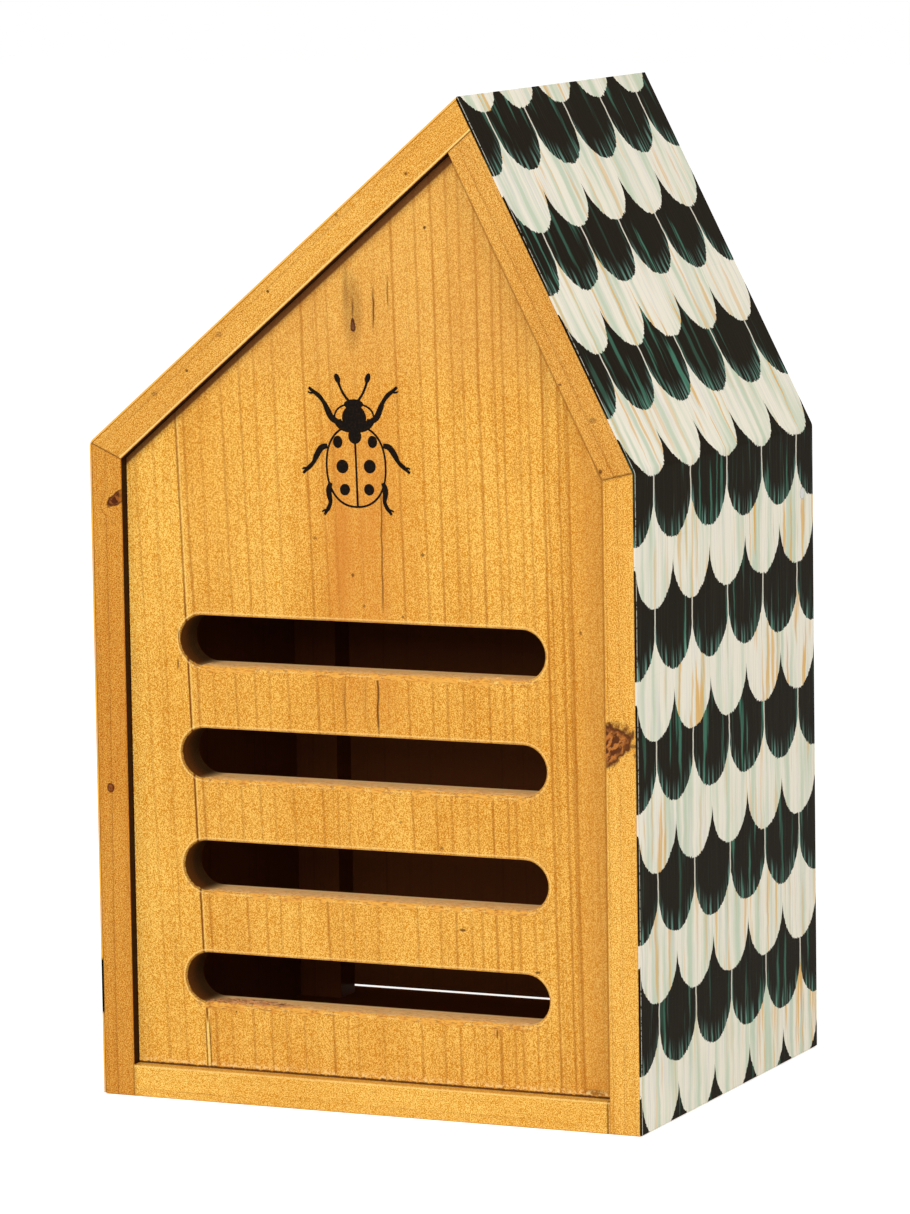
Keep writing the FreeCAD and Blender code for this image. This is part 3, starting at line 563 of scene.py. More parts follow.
# seams on a plank's front edge: the plank it meets, how deep in that one the seam lies (nothing for a mitre,
# which lies equally deep in both), the reach of the dark line and its strength
PLANK_SEAMS = {
    "left_wall": [("left_roof_board", None, 0.4, 0.4)],
    "left_roof_board": [("left_wall", None, 0.4, 0.4)],
    "right_wall": [("right_roof_board", None, 0.4, 0.35)],
    "right_roof_board": [("right_wall", None, 0.4, 0.35), ("left_roof_board", BOARD, 0.5, 0.8)],
    "floor_board": [("right_wall", BOARD + 0.6, 0.6, 0.75), ("left_wall", BOARD, 1.6, 0.35)],
}
# place of each knot on a plank's front edge, inward and along, and its half sizes, all in millimetres;
# then its slant and how much it narrows downwards
PLANK_KNOTS = {
    "right_wall": [(9.3, 113.8, 7.2, 6.2, 0.0, 0.55)],
    "left_wall": [(9.2, 181.0, 4.6, 1.9, 0.55, 0.0), (4.0, 93.3, 1.1, 1.3, 0.0, 0.0)],
}
KNOT_CORES = {"right_wall": tint(172, 98, 44), "left_wall": KNOT_RED}


def knot_marks(wood_colour, marks, core):
    """Colour with the cores and rims of some knots laid over it."""
    for mark in marks:
        wood_colour = layered(wood_colour, (mark["Core"] * 0.85, core), (mark["Rim"] * 0.9, KNOT_BROWN))
    return wood_colour


print("planks with knots:", ", ".join(PLANK_KNOTS))

# %% [markdown]
# Dark specks show where the stain caught in a flaw of the wood. They were picked in the same way as the
# knots. Each is an oval mask that mixes a dark brown over the colour of the wood, and a single loop lays them
# all, so another one takes no more than a place, a size and a strength.

# %% Specks
# x, height, half width, half height and strength of the small dark marks at the front, in millimetres
SPECKS = {
    "left_roof_board": [
        (-27.8, 242.8, 0.5, 0.5, 0.9), (-54.8, 218.9, 0.5, 0.5, 0.8), (17.2, 277.7, 0.5, 0.5, 0.8),
        (-5.1, 265.3, 0.6, 0.5, 0.5), (-44.0, 229.8, 1.2, 0.9, 0.35), (-65.5, 211.8, 1.1, 0.8, 0.35),
    ],
    "right_roof_board": [
        (64.7, 217.9, 0.6, 0.4, 0.7), (74.8, 207.9, 1.2, 0.9, 0.4), (77.0, 193.2, 0.6, 0.8, 0.8),
    ],
    "right_wall": [
        (86.2, 114.2, 1.3, 0.7, 0.7), (86.2, 117.8, 0.35, 1.7, 0.6), (86.6, 111.5, 0.3, 0.8, 0.6),
        (80.6, 120.6, 2.6, 0.9, 0.3),
    ],
    "front_narrow_stave": [(-61.4, 140.2, 0.22, 1.7, 0.8), (-61.7, 131.0, 0.3, 1.6, 0.8)],
    "front_wide_stave": [
        (21.0, 261.9, 0.5, 0.5, 0.9), (-15.9, 170.3, 0.9, 0.5, 0.45), (-3.8, 159.8, 0.5, 0.6, 0.7),
        (-0.3, 150.8, 0.4, 0.5, 0.6), (18.8, 166.6, 0.6, 0.6, 0.7), (68.5, 145.8, 0.5, 0.6, 0.6),
        (12.1, 148.1, 0.5, 0.4, 0.6), (29.8, 56.5, 1.1, 0.5, 0.8), (10.4, 87.4, 0.4, 0.5, 0.5),
        (23.5, 80.4, 0.6, 0.5, 0.6), (40.4, 26.4, 0.3, 1.6, 0.7), (53.6, 45.4, 0.8, 0.4, 0.8),
        (-44.6, 28.0, 0.35, 1.3, 0.9), (71.5, 11.2, 3.4, 0.9, 0.5), (-2.5, 237.0, 3.4, 11.0, 0.28),
    ],
}


def speckled(wood_colour, x, z, name, at_front):
    """Colour with the dark marks of one board; at_front is one on the face that shows them."""
    for across_mm, height_mm, half_width, half_height, strength in SPECKS.get(name, []):
        aside, up = (x - across_mm) / half_width, (z - height_mm) / half_height
        distance = (aside * aside + up * up).math("SQRT")
        wood_colour = mix(distance.fall(0.5, 1.3) * at_front * strength, wood_colour, KNOT_BROWN)
    return wood_colour


print("specks placed:", sum(map(len, SPECKS.values())))

# %% [markdown]
# The stain makes the pine honey-coloured, but no two planks took it alike. What they share is written once:
# the colours, the gloss and a usual look. Then each plank has a seed, which shows another part of the same
# endless grain, a spacing for its rings and a filter over its colour.

# %% Looks of the planks
HONEY = tint(238, 179, 76)
AMBER = tint(228, 164, 64)
RESIN = tint(150, 84, 20)
RECESS_SHADE_BLACK = tint(40, 19, 6)
RIM_HIGHLIGHT = tint(255, 216, 134)
INSIDE_SHADE_BROWN = tint(102, 54, 24)
WOOD_GLOSS = 0.06
GRAIN_DEPTH = 0.12
# a Dense From that no board reaches
FAR_AWAY = 1000.0
# how strongly the recess is painted nearly black as shade, the gloss, the painted highlight on the inner
# arris, how far back the inside is painted dark as shade; then each plank's seed, ring spacing, tilt of the
# rings, and filter over the colour
USUAL_LOOK = {"recess_shade": 1.0, "gloss": WOOD_GLOSS, "arris_highlight": 0.0, "shaded_to": door_high[1]}
PLANK_LOOK = {
    "left_wall": {"seed": 3.0, "spacing": 7.0, "tilt": 2.1, "filter": (0.80, 0.69, 0.57)},
    "right_wall": {"seed": 7.0, "spacing": 8.0, "tilt": 2.4, "filter": (0.98, 1.0, 1.05)},
    "left_roof_board": {"seed": 12.0, "spacing": 9.0, "tilt": 1.6, "filter": (0.9, 0.88, 0.9), "arris_highlight": 0.8},
    "right_roof_board": {"seed": 17.0, "spacing": 9.0, "tilt": 1.9, "filter": (0.83, 0.79, 0.84)},
    "floor_board": {"seed": 23.0, "spacing": 9.0, "tilt": 1.5, "filter": (1.03, 1.1, 1.18), "arris_highlight": 0.5,
                    "recess_shade": 0.1, "gloss": 0.0, "shaded_to": floor_high[1] + 1.0},
}


def board_grain(across, inward, along, seed, spacing, tilt, strength, dense, light=HONEY, deep=AMBER):
    """Pine grain with one board's own values; gives its colour and its height."""
    return use_group(across.tree, pine, {
        "Across": across, "Inward": inward, "Along": along, "Seed": seed, "Ring Spacing": spacing,
        "Ring Tilt": tilt, "Line Strength": strength, "Dense From": dense,
        "Light": light, "Deep": deep, "Line": RESIN,
    })


def shaded_inside(height):
    """Dark brown painted as shade inside the box, with a board's own grain in it."""
    return dim(INSIDE_SHADE_BROWN, height * 0.4 + 0.8)


print("looks written for", len(PLANK_LOOK), "planks")

# %% [markdown]
# A plank's finish is built up in layers: the grain with its knots, wear along the edges, a filter for how
# dark this plank took the stain, then specks, seams and a painted highlight along the inner arris. Inside the
# box the wood is painted dark brown as shade, and in the recess before the panel it is painted nearly black
# as shade.


# %% Stained planks
def finish(name, material):
    """Give a part its material."""
    for slot in nodes[name].material_slots:
        slot.material = material


def plank_material(name):
    """Stained pine for one plank: knots, a painted highlight on the arris, and painted shade in the recess
    and inside.
    """
    material, shader, place = start_material(name)
    look = {**USUAL_LOOK, **PLANK_LOOK[name]}
    across, inward, along = plank_frame(place, *PLANKS[name])
    marks, push = place_knots(inward, along, PLANK_KNOTS.get(name, []), across.fall(6.0, 14.0))
    rings = (look["seed"], look["spacing"], look["tilt"], 0.5, FAR_AWAY)
    grain = board_grain(across, inward + push, along, *rings)
    wood_colour = knot_marks(grain["Colour"], marks, KNOT_CORES.get(name))
    edge = (inward - BOARD / 2).math("ABSOLUTE").rise(BOARD / 2 - 1.2, BOARD / 2)
    worn = edge * noise(across * 0.5, inward * 0.5, along * 0.16, detail=3.0).rise(0.4, 0.7)
    wood_colour = mix(worn * 0.35, wood_colour, AMBER)
    wood_colour = times(wood_colour, look["filter"])
    at_front = across.fall(1.0, 2.0)
    wood_colour = speckled(wood_colour, place[0], place[2], name, at_front)
    for other, depth, reach, strength in PLANK_SEAMS[name]:
        into_other = plank_frame(place, *PLANKS[other])[1]
        seam = into_other - (inward if depth is None else depth)
        wood_colour = mix(seam.near(0.0, reach) * at_front * strength, wood_colour, KNOT_BROWN)
    # painted highlight: a pale line along the inner arris of the front edge
    arris_highlight = inward.near(BOARD - 0.35, 0.4) * at_front * look["arris_highlight"]
    wood_colour = mix(arris_highlight, wood_colour, RIM_HIGHLIGHT)
    # painted shade: inner faces nearly black in the recess before the panel, dark brown behind it and on the
    # floor's ledge behind the door
    inner_face = inward.rise(BOARD - 0.35, BOARD - 0.1) * across.rise(0.3, 0.9)
    before_back = across.fall(look["shaded_to"] - FRONT_Y - 1.0, look["shaded_to"] - FRONT_Y)
    behind_panel = across.rise(PANEL_Y - FRONT_Y + 2.0, PANEL_Y - FRONT_Y + 4.0)
    recess_shade = mix(inner_face * look["recess_shade"], wood_colour, RECESS_SHADE_BLACK)
    inner_shade_colour = mix(behind_panel, recess_shade, shaded_inside(grain["Height"]))
    wood_colour = mix(inner_face * before_back, wood_colour, inner_shade_colour)
    paint(shader, wood_colour, grain["Height"] * -0.2 + 0.6, look["gloss"])
    roughen(shader, grain["Height"], GRAIN_DEPTH)
    return material


for plank in PLANKS:
    finish(plank, plank_material(plank))
print("planks finished:", ", ".join(PLANKS))

# %% [markdown]
# The front panel shows growth lines from top to foot. A tree's rings lie wide apart near its heart and close
# together near its bark. The lines are therefore placed by a rule: even steps to the left of the heart, and
# steps that shrink by a power of the way to the right edge. A seeded draw shifts each line and gives it its
# strength.

# %% Growth lines of the front panel
LINE_BROWN = tint(160, 86, 0)
# growth lines: where they begin beside the heart, their step to the left, where they end to the right
HEART_LEFT, LEFT_STEP, LEFT_COUNT = -2.0, 6.0, 12
HEART_RIGHT, EDGE_RIGHT, RIGHT_COUNT = 17.0, 69.0, 15
CROWDING = 1.6
LINE_SHIFT = 0.3
LINE_STRENGTHS = (0.2, 0.55)
FAN_PER_MM = 0.0002
LINE_CORE, LINE_REACH = 0.05, 0.7


def growth_lines():
    """Places and strengths of the lines: even steps to the left, a power of the share to the right."""
    line_draw = np.random.default_rng(5)
    left = HEART_LEFT - LEFT_STEP * np.arange(LEFT_COUNT)[::-1]
    share_left_over = 1 - np.arange(RIGHT_COUNT) / RIGHT_COUNT
    right = EDGE_RIGHT - (EDGE_RIGHT - HEART_RIGHT) * share_left_over**CROWDING
    places = np.concatenate([left, right])
    places += np.gradient(places) * line_draw.uniform(-LINE_SHIFT, LINE_SHIFT, len(places))
    return list(zip(places.tolist(), line_draw.uniform(*LINE_STRENGTHS, len(places)).tolist()))


def ruled(wood_colour, across, z, boldness):
    """Colour with the growth lines, which fan out a little upwards."""
    fanned = across / ((z - PANEL_FOOT) * FAN_PER_MM + 1.0)
    strayed = fanned + sway(0.9, across / 9.0, 5.0, z / 40.0)
    total = z * 0.0
    for middle, strength in GROWTH_LINES:
        total = total + (strayed - middle).math("ABSOLUTE").fall(LINE_CORE, LINE_REACH) * strength
    uneven = noise(across * 0.7, 6.0, z * 0.04) * 1.4 + 0.3
    return mix(total * uneven * boldness, wood_colour, LINE_BROWN)


GROWTH_LINES = growth_lines()
print("growth lines on the front panel:", len(GROWTH_LINES))

# %% [markdown]
# The panel is glued up from a narrow and a wide stave, whose grain leans a little. Over the grain lie a warm
# heart, a duller gable and a more orange right edge, then the growth lines, some hair cracks, one small knot
# and the specks. The cracks were picked in the same way as the knots and specks.

# %% Grain of the staves
GRAIN_LEAN = math.radians(1.65)
HEART_ORANGE = tint(204, 124, 48)
EDGE_ORANGE = tint(206, 134, 54)
GABLE_DULL = tint(208, 152, 86)
KNOT_PURPLE = tint(84, 40, 36)
STAVES = {
    "front_narrow_stave": {"seed": 31.0, "spacing": 11.0, "strength": 0.25, "dense": FAR_AWAY, "ruled": 0.5,
                           "stain": (1.0, 1.03, 1.0)},
    "front_wide_stave": {"seed": 36.0, "spacing": 8.0, "strength": 0.16, "dense": 38.0, "ruled": 1.0,
                         "stain": (0.95, 0.94, 0.9)},
}
# the warm heart: its middle and its reach, across the grain and upwards; then where the gable is duller,
# where the right edge is more orange, and how far a crack takes to fade in
HEART_X, HEART_WIDE = 4.0, 24.0
HEART_Z, HEART_TALL = 165.0, 80.0
GABLE_FROM, GABLE_TO = 205.0, 235.0
EDGE_FROM, EDGE_TO = 62.0, 72.0
CRACK_END = 6.0
# x, lowest and highest point, half width and strength of each crack in the panel, in millimetres
PANEL_CRACKS = [
    (5.7, 147.0, 187.0, 0.2, 0.8), (3.6, 111.0, 134.0, 0.3, 0.9), (-6.9, 113.0, 131.0, 0.2, 0.5),
    (-0.4, 114.0, 131.0, 0.2, 0.3), (4.2, 230.0, 246.0, 0.26, 0.9), (8.9, 236.0, 250.0, 0.22, 0.7),
    (-2.4, 233.0, 243.0, 0.25, 0.9), (-4.7, 236.0, 254.0, 0.8, 0.3),
]
# place and half sizes of the panel's knot, then its slant and narrowing
PANEL_KNOT = (-2.4, 233.2, 0.75, 1.9, 0.0, -0.3)


def stave_grain(name, place):
    """Grain of one stave with its growth lines, cracks, knot and specks; gives its colour and its height."""
    x, y, z = place
    look = STAVES[name]
    across = x + (z - PANEL_FOOT) * math.tan(GRAIN_LEAN)
    inward = y - PANEL_Y
    marks, push = place_knots(x, z, [PANEL_KNOT])
    rings = (look["seed"], look["spacing"], 0.5, look["strength"], look["dense"])
    grain = board_grain(across + push, inward, z, *rings)
    streaks = noise(across / 7.0, 3.0, z / 60.0).rise(0.0, 0.8)
    heart = across.near(HEART_X, HEART_WIDE) * z.near(HEART_Z, HEART_TALL) * streaks
    wood_colour = layered(
        grain["Colour"],
        (heart * 0.95, HEART_ORANGE),
        (z.rise(GABLE_FROM, GABLE_TO) * 0.3, GABLE_DULL),
        (x.rise(EDGE_FROM, EDGE_TO) * 0.4, EDGE_ORANGE),
    )
    wood_colour = ruled(wood_colour, across, z, look["ruled"])
    for middle, low, high, half, strength in PANEL_CRACKS:
        wander = sway(1.2, z / 9.0, middle, 0.0)
        ends = z.rise(low, low + CRACK_END) * z.fall(high - CRACK_END, high)
        wood_colour = mix((x + wander).near(middle, half * 2) * ends * strength, wood_colour, KNOT_BROWN)
    wood_colour = knot_marks(wood_colour, marks, KNOT_PURPLE)
    wood_colour = speckled(wood_colour, x, z, name, inward.fall(0.3, 0.6))
    return times(wood_colour, look["stain"]), grain["Height"]


print("cracks in the front panel:", len(PANEL_CRACKS))

# %% [markdown]
# The panel's edges tell how it was put together. The glue joint is a dark line, which leans more than the
# grain and splits in two at the foot. The saw chipped the foot. Under the long roof board a band of painted
# shade darkens the panel, and a thin line of painted shade stands along the steep one and the right wall.
# Each of these is a mask over the same grain, measured from the edge that it follows.

# %% Edges of the front panel
JOINT_LEAN = math.radians(2.13)
JOINT_FOOT = corners("front_narrow_stave")[1][0]
# heights between which the glue joint splits in two, and between which it grows fainter
SPLIT_LOW, SPLIT_HIGH = 22.0, 26.0
FAINT_LOW, FAINT_HIGH = 142.0, 160.0
GLUE_PALE = tint(255, 222, 130)
JOINT_BROWN = tint(112, 52, 6)
CHIP_PALE = tint(250, 214, 140)
ROOF_SHADE = tint(86, 44, 18)


def stave_edges(wood_colour, place):
    """Colour with the marks along the edges, painted shade among them, and how deeply the foot is chipped."""
    x, _, z = place
    joint = x + (z - PANEL_FOOT) * math.tan(JOINT_LEAN) - JOINT_FOOT + sway(0.3, z * 0.5, 2.0, 0.0)
    split = z.fall(SPLIT_LOW, SPLIT_HIGH)
    two_lines = (joint.near(-0.65, 0.4) + joint.near(0.65, 0.4)) * split
    one_line = joint.near(0.0, 0.6) * (1.0 - split) * (z.fall(FAINT_LOW, FAINT_HIGH) * 0.35 + 0.65)
    neighbours = ("right_wall", "right_roof_board", "left_roof_board")
    by_wall, by_steep, by_long = (plank_frame(place, *PLANKS[name])[1] - BOARD for name in neighbours)
    climb = (z - LEFT_EAVE) / (ridge[2] - LEFT_EAVE)
    under_roof = by_long - climb * 0.9
    ragged = noise(x * 0.8, 1.0, z * 0.8, detail=3.0)
    above_foot = z - PANEL_FOOT
    chipped = (above_foot - ragged * 1.3).fall(-0.3, 0.1)
    wood_colour = layered(
        wood_colour,
        (joint.near(0.65, 0.55) * (1.0 - split) * 0.35, GLUE_PALE),
        (joint.near(0.0, 0.6) * split * 0.7, GLUE_PALE),
        (one_line, JOINT_BROWN),
        (two_lines * 0.75, KNOT_BROWN),
        # painted shade: a thin dark line on the panel beside the right wall and the steep roof board
        (by_wall.math("MINIMUM", by_steep).near(1.75, 0.55) * 0.5, RESIN),
        # painted shade under the long roof board: a soft band and a darker core
        (under_roof.fall(1.5, 3.6) * 0.35, ROOF_SHADE),
        (under_roof.fall(1.2, 1.9) * 0.9, ROOF_SHADE),
        (above_foot.near(1.2, 1.3) * ragged.rise(0.47, 0.57) * 0.7, CHIP_PALE),
        (chipped * 0.9, KNOT_BROWN),
    )
    return wood_colour, chipped


print(f"the glue joint stands at x = {JOINT_FOOT:.1f} mm at the foot")

# %% [markdown]
# The slots were routed after the stain had dried, so their walls are raw and torn at the rim. A painted
# highlight runs along each rim and along the rear of each lower lip. At the left ends, where the cutter
# turned, the walls are scorched and darkened further with painted shade, and a crescent of painted shade lies
# on the face beside them.
# The four are alike, so one formula serves them all. It takes the height modulo the pitch and gives the
# distance from the outline of the nearest slot.

# %% Slots of the front panel
SLOT_LEFT, SLOT_RIGHT = -60.9, 57.1
SLOT_HEIGHT = 15.0
SLOT_PITCH = 33.8
LOWEST_SLOT, SLOT_COUNT = 37.0, 4
SLOT_CENTRES = [LOWEST_SLOT + SLOT_PITCH * step for step in range(SLOT_COUNT)]
SLOT_FOOT = SLOT_CENTRES[0] - SLOT_HEIGHT / 2
SLOT_TOP = SLOT_CENTRES[-1] + SLOT_HEIGHT / 2
SLOT_MIDDLE = (SLOT_LEFT + SLOT_RIGHT) / 2
SLOT_STRAIGHT = SLOT_RIGHT - SLOT_LEFT - SLOT_HEIGHT
PANEL_THICK = panel_high[1] - PANEL_Y
RAW_TAN = tint(255, 206, 136)
SCORCH_AND_SHADE = tint(88, 45, 8)
CHAR_AND_SHADE = tint(46, 23, 4)
CREAM_HIGHLIGHT = tint(255, 216, 150)


def stave_slots(wood_colour, place):
    """Colour with the marks of the router: torn rims with a painted highlight, raw walls with a painted
    highlight at the rear of the lip, and scorched left ends darkened further with painted shade.
    """
    x, y, z = place
    inward = y - PANEL_Y
    past_straight = ((x - SLOT_MIDDLE).math("ABSOLUTE") - SLOT_STRAIGHT / 2).math("MAXIMUM", 0.0)
    from_axis = (z - SLOT_CENTRES[0] + SLOT_PITCH / 2) % SLOT_PITCH - SLOT_PITCH / 2
    from_slot = (past_straight * past_straight + from_axis * from_axis).math("SQRT") - SLOT_HEIGHT / 2
    by_slots = z.rise(SLOT_FOOT - 8.5, SLOT_FOOT - 6.5) * z.fall(SLOT_TOP + 8.0, SLOT_TOP + 9.0)
    tear_noise = noise(x * 0.55, 4.0, z * 0.9, detail=3.0)
    turned_end = x.fall(SLOT_LEFT + 4.0, SLOT_LEFT + 8.0) * by_slots
    lower_lip = from_axis.fall(-5.0, -3.0)
    torn = from_slot.near(0.8, 1.6) * by_slots * lower_lip
    wood_colour = layered(
        wood_colour,
        # painted highlight along the rim of each slot, broken by the tear noise
        (from_slot.near(0.85, 0.4) * by_slots * (tear_noise * 0.7 + 0.1), RIM_HIGHLIGHT),
        # painted shade: a dark crescent on the face at each slot's left end
        (from_slot.near(0.3, 0.4) * turned_end * 0.6, KNOT_BROWN),
        (torn * tear_noise.rise(0.52, 0.62) * 0.5, KNOT_RED),
    )
    raw = dim(RAW_TAN, noise(x * 0.5, y * 1.1, z * 1.1, detail=4.0, rough=0.7) * 0.8 + 0.55)
    # painted highlight: the rear of the lower lip is a lighter cream
    rear_rim_highlight = inward.rise(PANEL_THICK - 2.6, PANEL_THICK - 1.2) * lower_lip
    cutter_marks = noise(y * 1.6, z * 0.08, 6.0) * 1.2 + 0.4
    # router scorch at the left ends, darkened further as painted shade
    burnt_and_shaded = dim(mix(inward.rise(1.0, 8.0), SCORCH_AND_SHADE, CHAR_AND_SHADE), cutter_marks)
    left_end = x.fall(SLOT_LEFT + 4.5, SLOT_LEFT + 11.0) * 0.98
    raw = layered(raw, (rear_rim_highlight, CREAM_HIGHLIGHT), (left_end, burnt_and_shaded))
    return mix((inward + tear_noise * 0.7).rise(0.6, 1.0), wood_colour, raw)


print("slots:", SLOT_COUNT, "of", SLOT_HEIGHT, "mm")

# %% [markdown]
# Grain, edges and slots come together in one material for each stave. The rear of the panel is painted the
# dark brown shade of the inside.


# %% Finish of the front panel
def stave_material(name):
    """Stained pine for one stave of the front panel."""
    material, shader, place = start_material(name)
    wood_colour, height = stave_grain(name, place)
    wood_colour, chipped = stave_edges(wood_colour, place)
    wood_colour = stave_slots(wood_colour, place)
    # painted shade: the rear face takes the dark brown of the inside
    at_rear = (place[1] - PANEL_Y).rise(PANEL_THICK - 0.3, PANEL_THICK - 0.1)
    wood_colour = mix(at_rear, wood_colour, shaded_inside(height))
    paint(shader, wood_colour, height * -0.2 + 0.56, WOOD_GLOSS)
    roughen(shader, height - chipped, GRAIN_DEPTH)
    return material


for stave in STAVES:
    finish(stave, stave_material(stave))
print("front panel finished:", ", ".join(STAVES))

# %% [markdown]
# The back has a fixed gable and a door in the same stained pine, with upright grain. Their inner faces, and
# the two sawn strips in the rear corners, are painted dark brown as shade, as the inside of the box is.

# %% Back panel, door and inner strips
BACK_Y = door_high[1]
STRIP_SHADE_DARK = tint(96, 56, 26)
# x, height and half sizes of the knots at the back, in millimetres, then their slant and narrowing
BACK_KNOTS = {
    "back_door": [(-31.0, 118.0, 4.2, 6.5, 0.1, 0.0), (38.0, 52.0, 2.6, 3.8, 0.1, 0.0)],
    "back_gable": [(24.0, 232.0, 3.0, 4.6, 0.1, 0.0)],
}


def back_material(name, seed, light, deep, spacing, dense_from):
    """Pine for an upright board at the back; its grain runs up and its depth is measured from behind."""
    material, shader, (x, y, z) = start_material(name)
    inward = BACK_Y - y
    marks, push = place_knots(x, z, BACK_KNOTS.get(name, []))
    grain = board_grain(x + push, inward, z, seed, spacing, 0.7, 0.45, dense_from, light, deep)
    wood_colour = knot_marks(grain["Colour"], marks, KNOT_RED)
    # painted shade: the inner face takes the dark brown of the inside
    wood_colour = mix(inward.rise(BOARD - 0.4, BOARD - 0.2), wood_colour, shaded_inside(grain["Height"]))
    paint(shader, wood_colour, grain["Height"] * -0.2 + 0.6, WOOD_GLOSS)
    roughen(shader, grain["Height"], GRAIN_DEPTH)
    return material


finish("back_gable", back_material("back_gable", 41.0, HONEY, AMBER, 10.0, 12.0))
finish("back_door", back_material("back_door", 47.0, HONEY, AMBER, 8.0, 44.0))
# the stop strips are painted in the dark browns of shade
for hand, seed_number in (("left", 53.0), ("right", 59.0)):
    strip_name = f"{hand}_stop_strip"
    finish(strip_name, back_material(strip_name, seed_number, INSIDE_SHADE_BROWN, STRIP_SHADE_DARK, 5.0, FAR_AWAY))
print("back finished, with knots on", ", ".join(BACK_KNOTS))

# %% [markdown]
# The covering on the sides is a glossy printed sheet with the look of enamel laid on with a brush. The
# design here is a plain fish-scale shingle, in rows that are near-black and ivory by turns. A scale is a
# strip whose lower end is a half circle, and each row hides the upper part of the row below. So a point
# belongs to the row at its height if it lies above that row's half circle, and otherwise to the row below.
# Streaks drawn out along the brush stroke start anew in every scale.

# %% Printed sheet
SCALE_ROW = 19.3
SCALE_WIDTH = 28.0
SCALE_ROUND = SCALE_WIDTH / 2

shingle, given, shingle_out = start_group(
    "fish_scale_print", {"Depth": NUMBER, "Girth": NUMBER}, {"Colour": COLOUR, "Height": NUMBER})
depth = given["Depth"] + sway(1.6, given["Girth"] / 7.0, given["Depth"] / 30.0, 1.0)
girth = given["Girth"] + sway(1.8, given["Depth"] / 9.0, given["Girth"] / 30.0, 2.0)
bristles = sway(2.2, given["Depth"] * 1.3, given["Girth"] * 0.05, 3.0, detail=3.0)


def scales_in(row):
    """For a row: the number of the scale at this depth, how far aside of its middle, and its end's height."""
    place_in_row = depth / SCALE_WIDTH + (row % 2.0) * 0.5
    scale_number = place_in_row.floor()
    aside = (place_in_row - scale_number - 0.5) * SCALE_WIDTH
    flat = (SCALE_ROUND**2 - aside * aside).math("MAXIMUM", 0.0).math("SQRT")
    return scale_number, aside, SCALE_ROUND - flat


upper_row = (girth / SCALE_ROW).floor()
lower_row = upper_row - 1.0
above = girth - upper_row * SCALE_ROW
upper_number, upper_aside, upper_end = scales_in(upper_row)
lower_number, lower_aside, lower_end = scales_in(lower_row)
upper_edge = above + bristles - upper_end
covered = upper_edge.rise(-0.12, 0.12)
row = lower_row + covered.rise(0.45, 0.55)
scale_number = lower_number + (upper_number - lower_number) * covered.rise(0.45, 0.55)
aside = lower_aside + (upper_aside - lower_aside) * covered.rise(0.45, 0.55)
luck = chance(scale_number, row)
other_luck = chance(scale_number + 31.0, row + 17.0)
dark_row = (row % 2.0).rise(0.4, 0.6)
print("rows of scales:", len(shingle.nodes), "nodes")

# %% [markdown]
# Every scale is painted along its length. Noise drawn out along the stroke gives broad and narrow streaks,
# and a number that belongs to the scale shifts them, so no two scales are alike. Paint gathers near the
# round end.

# %% Brush strokes in the scales
INK_BLACK = tint(26, 19, 4)
INK_SMOKE = tint(46, 40, 25)
INK_TEAL = tint(74, 132, 108)
PALE_TEAL = tint(132, 184, 166)
IVORY = tint(250, 242, 222)
SAGE = tint(206, 218, 190)
OCHRE = tint(234, 182, 98)
PEARL = tint(220, 215, 212)

start = luck * 57.0
broad = noise(depth * 0.2 + start, girth * 0.014 + start, row, detail=2.0)
narrow = noise(depth * 0.3 + start * 1.7, girth * 0.02, row + 9.0, detail=2.0)
hair = noise(depth * 1.3 + start, girth * 0.03, row, detail=3.0)
end_distance = (above + SCALE_ROW - lower_end) * (1.0 - covered) + upper_edge * covered
patchy = noise(depth * 0.55 + start, row, 4.0, detail=2.0).rise(0.48, 0.62)
gathered = end_distance.fall(0.4, 7.0) * patchy
light = layered(
    IVORY,
    (broad.rise(0.42, 0.68), SAGE),
    (hair.rise(0.45, 0.7) * 0.5, PEARL),
    (narrow.rise(0.56, 0.63) * (other_luck * 0.85 + 0.15), OCHRE),
    (gathered * 0.35, SAGE),
)
dark = layered(
    INK_BLACK,
    (hair.rise(0.45, 0.75) * 0.5, INK_SMOKE),
    (narrow.rise(0.57, 0.68) * (other_luck * 0.75 + 0.1), INK_TEAL),
    (gathered * 0.6, PALE_TEAL),
)
ground_line = aside.math("ABSOLUTE").rise(SCALE_ROUND - 0.55, SCALE_ROUND - 0.25)
feed(shingle_out.inputs["Colour"], layered(light, (dark_row, dark), (ground_line * 0.8, IVORY)))
feed(shingle_out.inputs["Height"], hair * 0.6 + covered * 0.5 + broad * 0.3)
print("pattern with strokes:", len(shingle.nodes), "nodes")

# %% [markdown]
# Each sheet goes up a wall and over the roof in one piece. The pattern therefore runs on two measures: the
# depth of the house and the girth, which is the height on the wall and then the way up the slope.

# %% Printed sheets on both sides
PRINT_GLOSS = 0.006
PRINT_DEPTH = 0.05
BARE_SPOT = (33.0, 9.5)


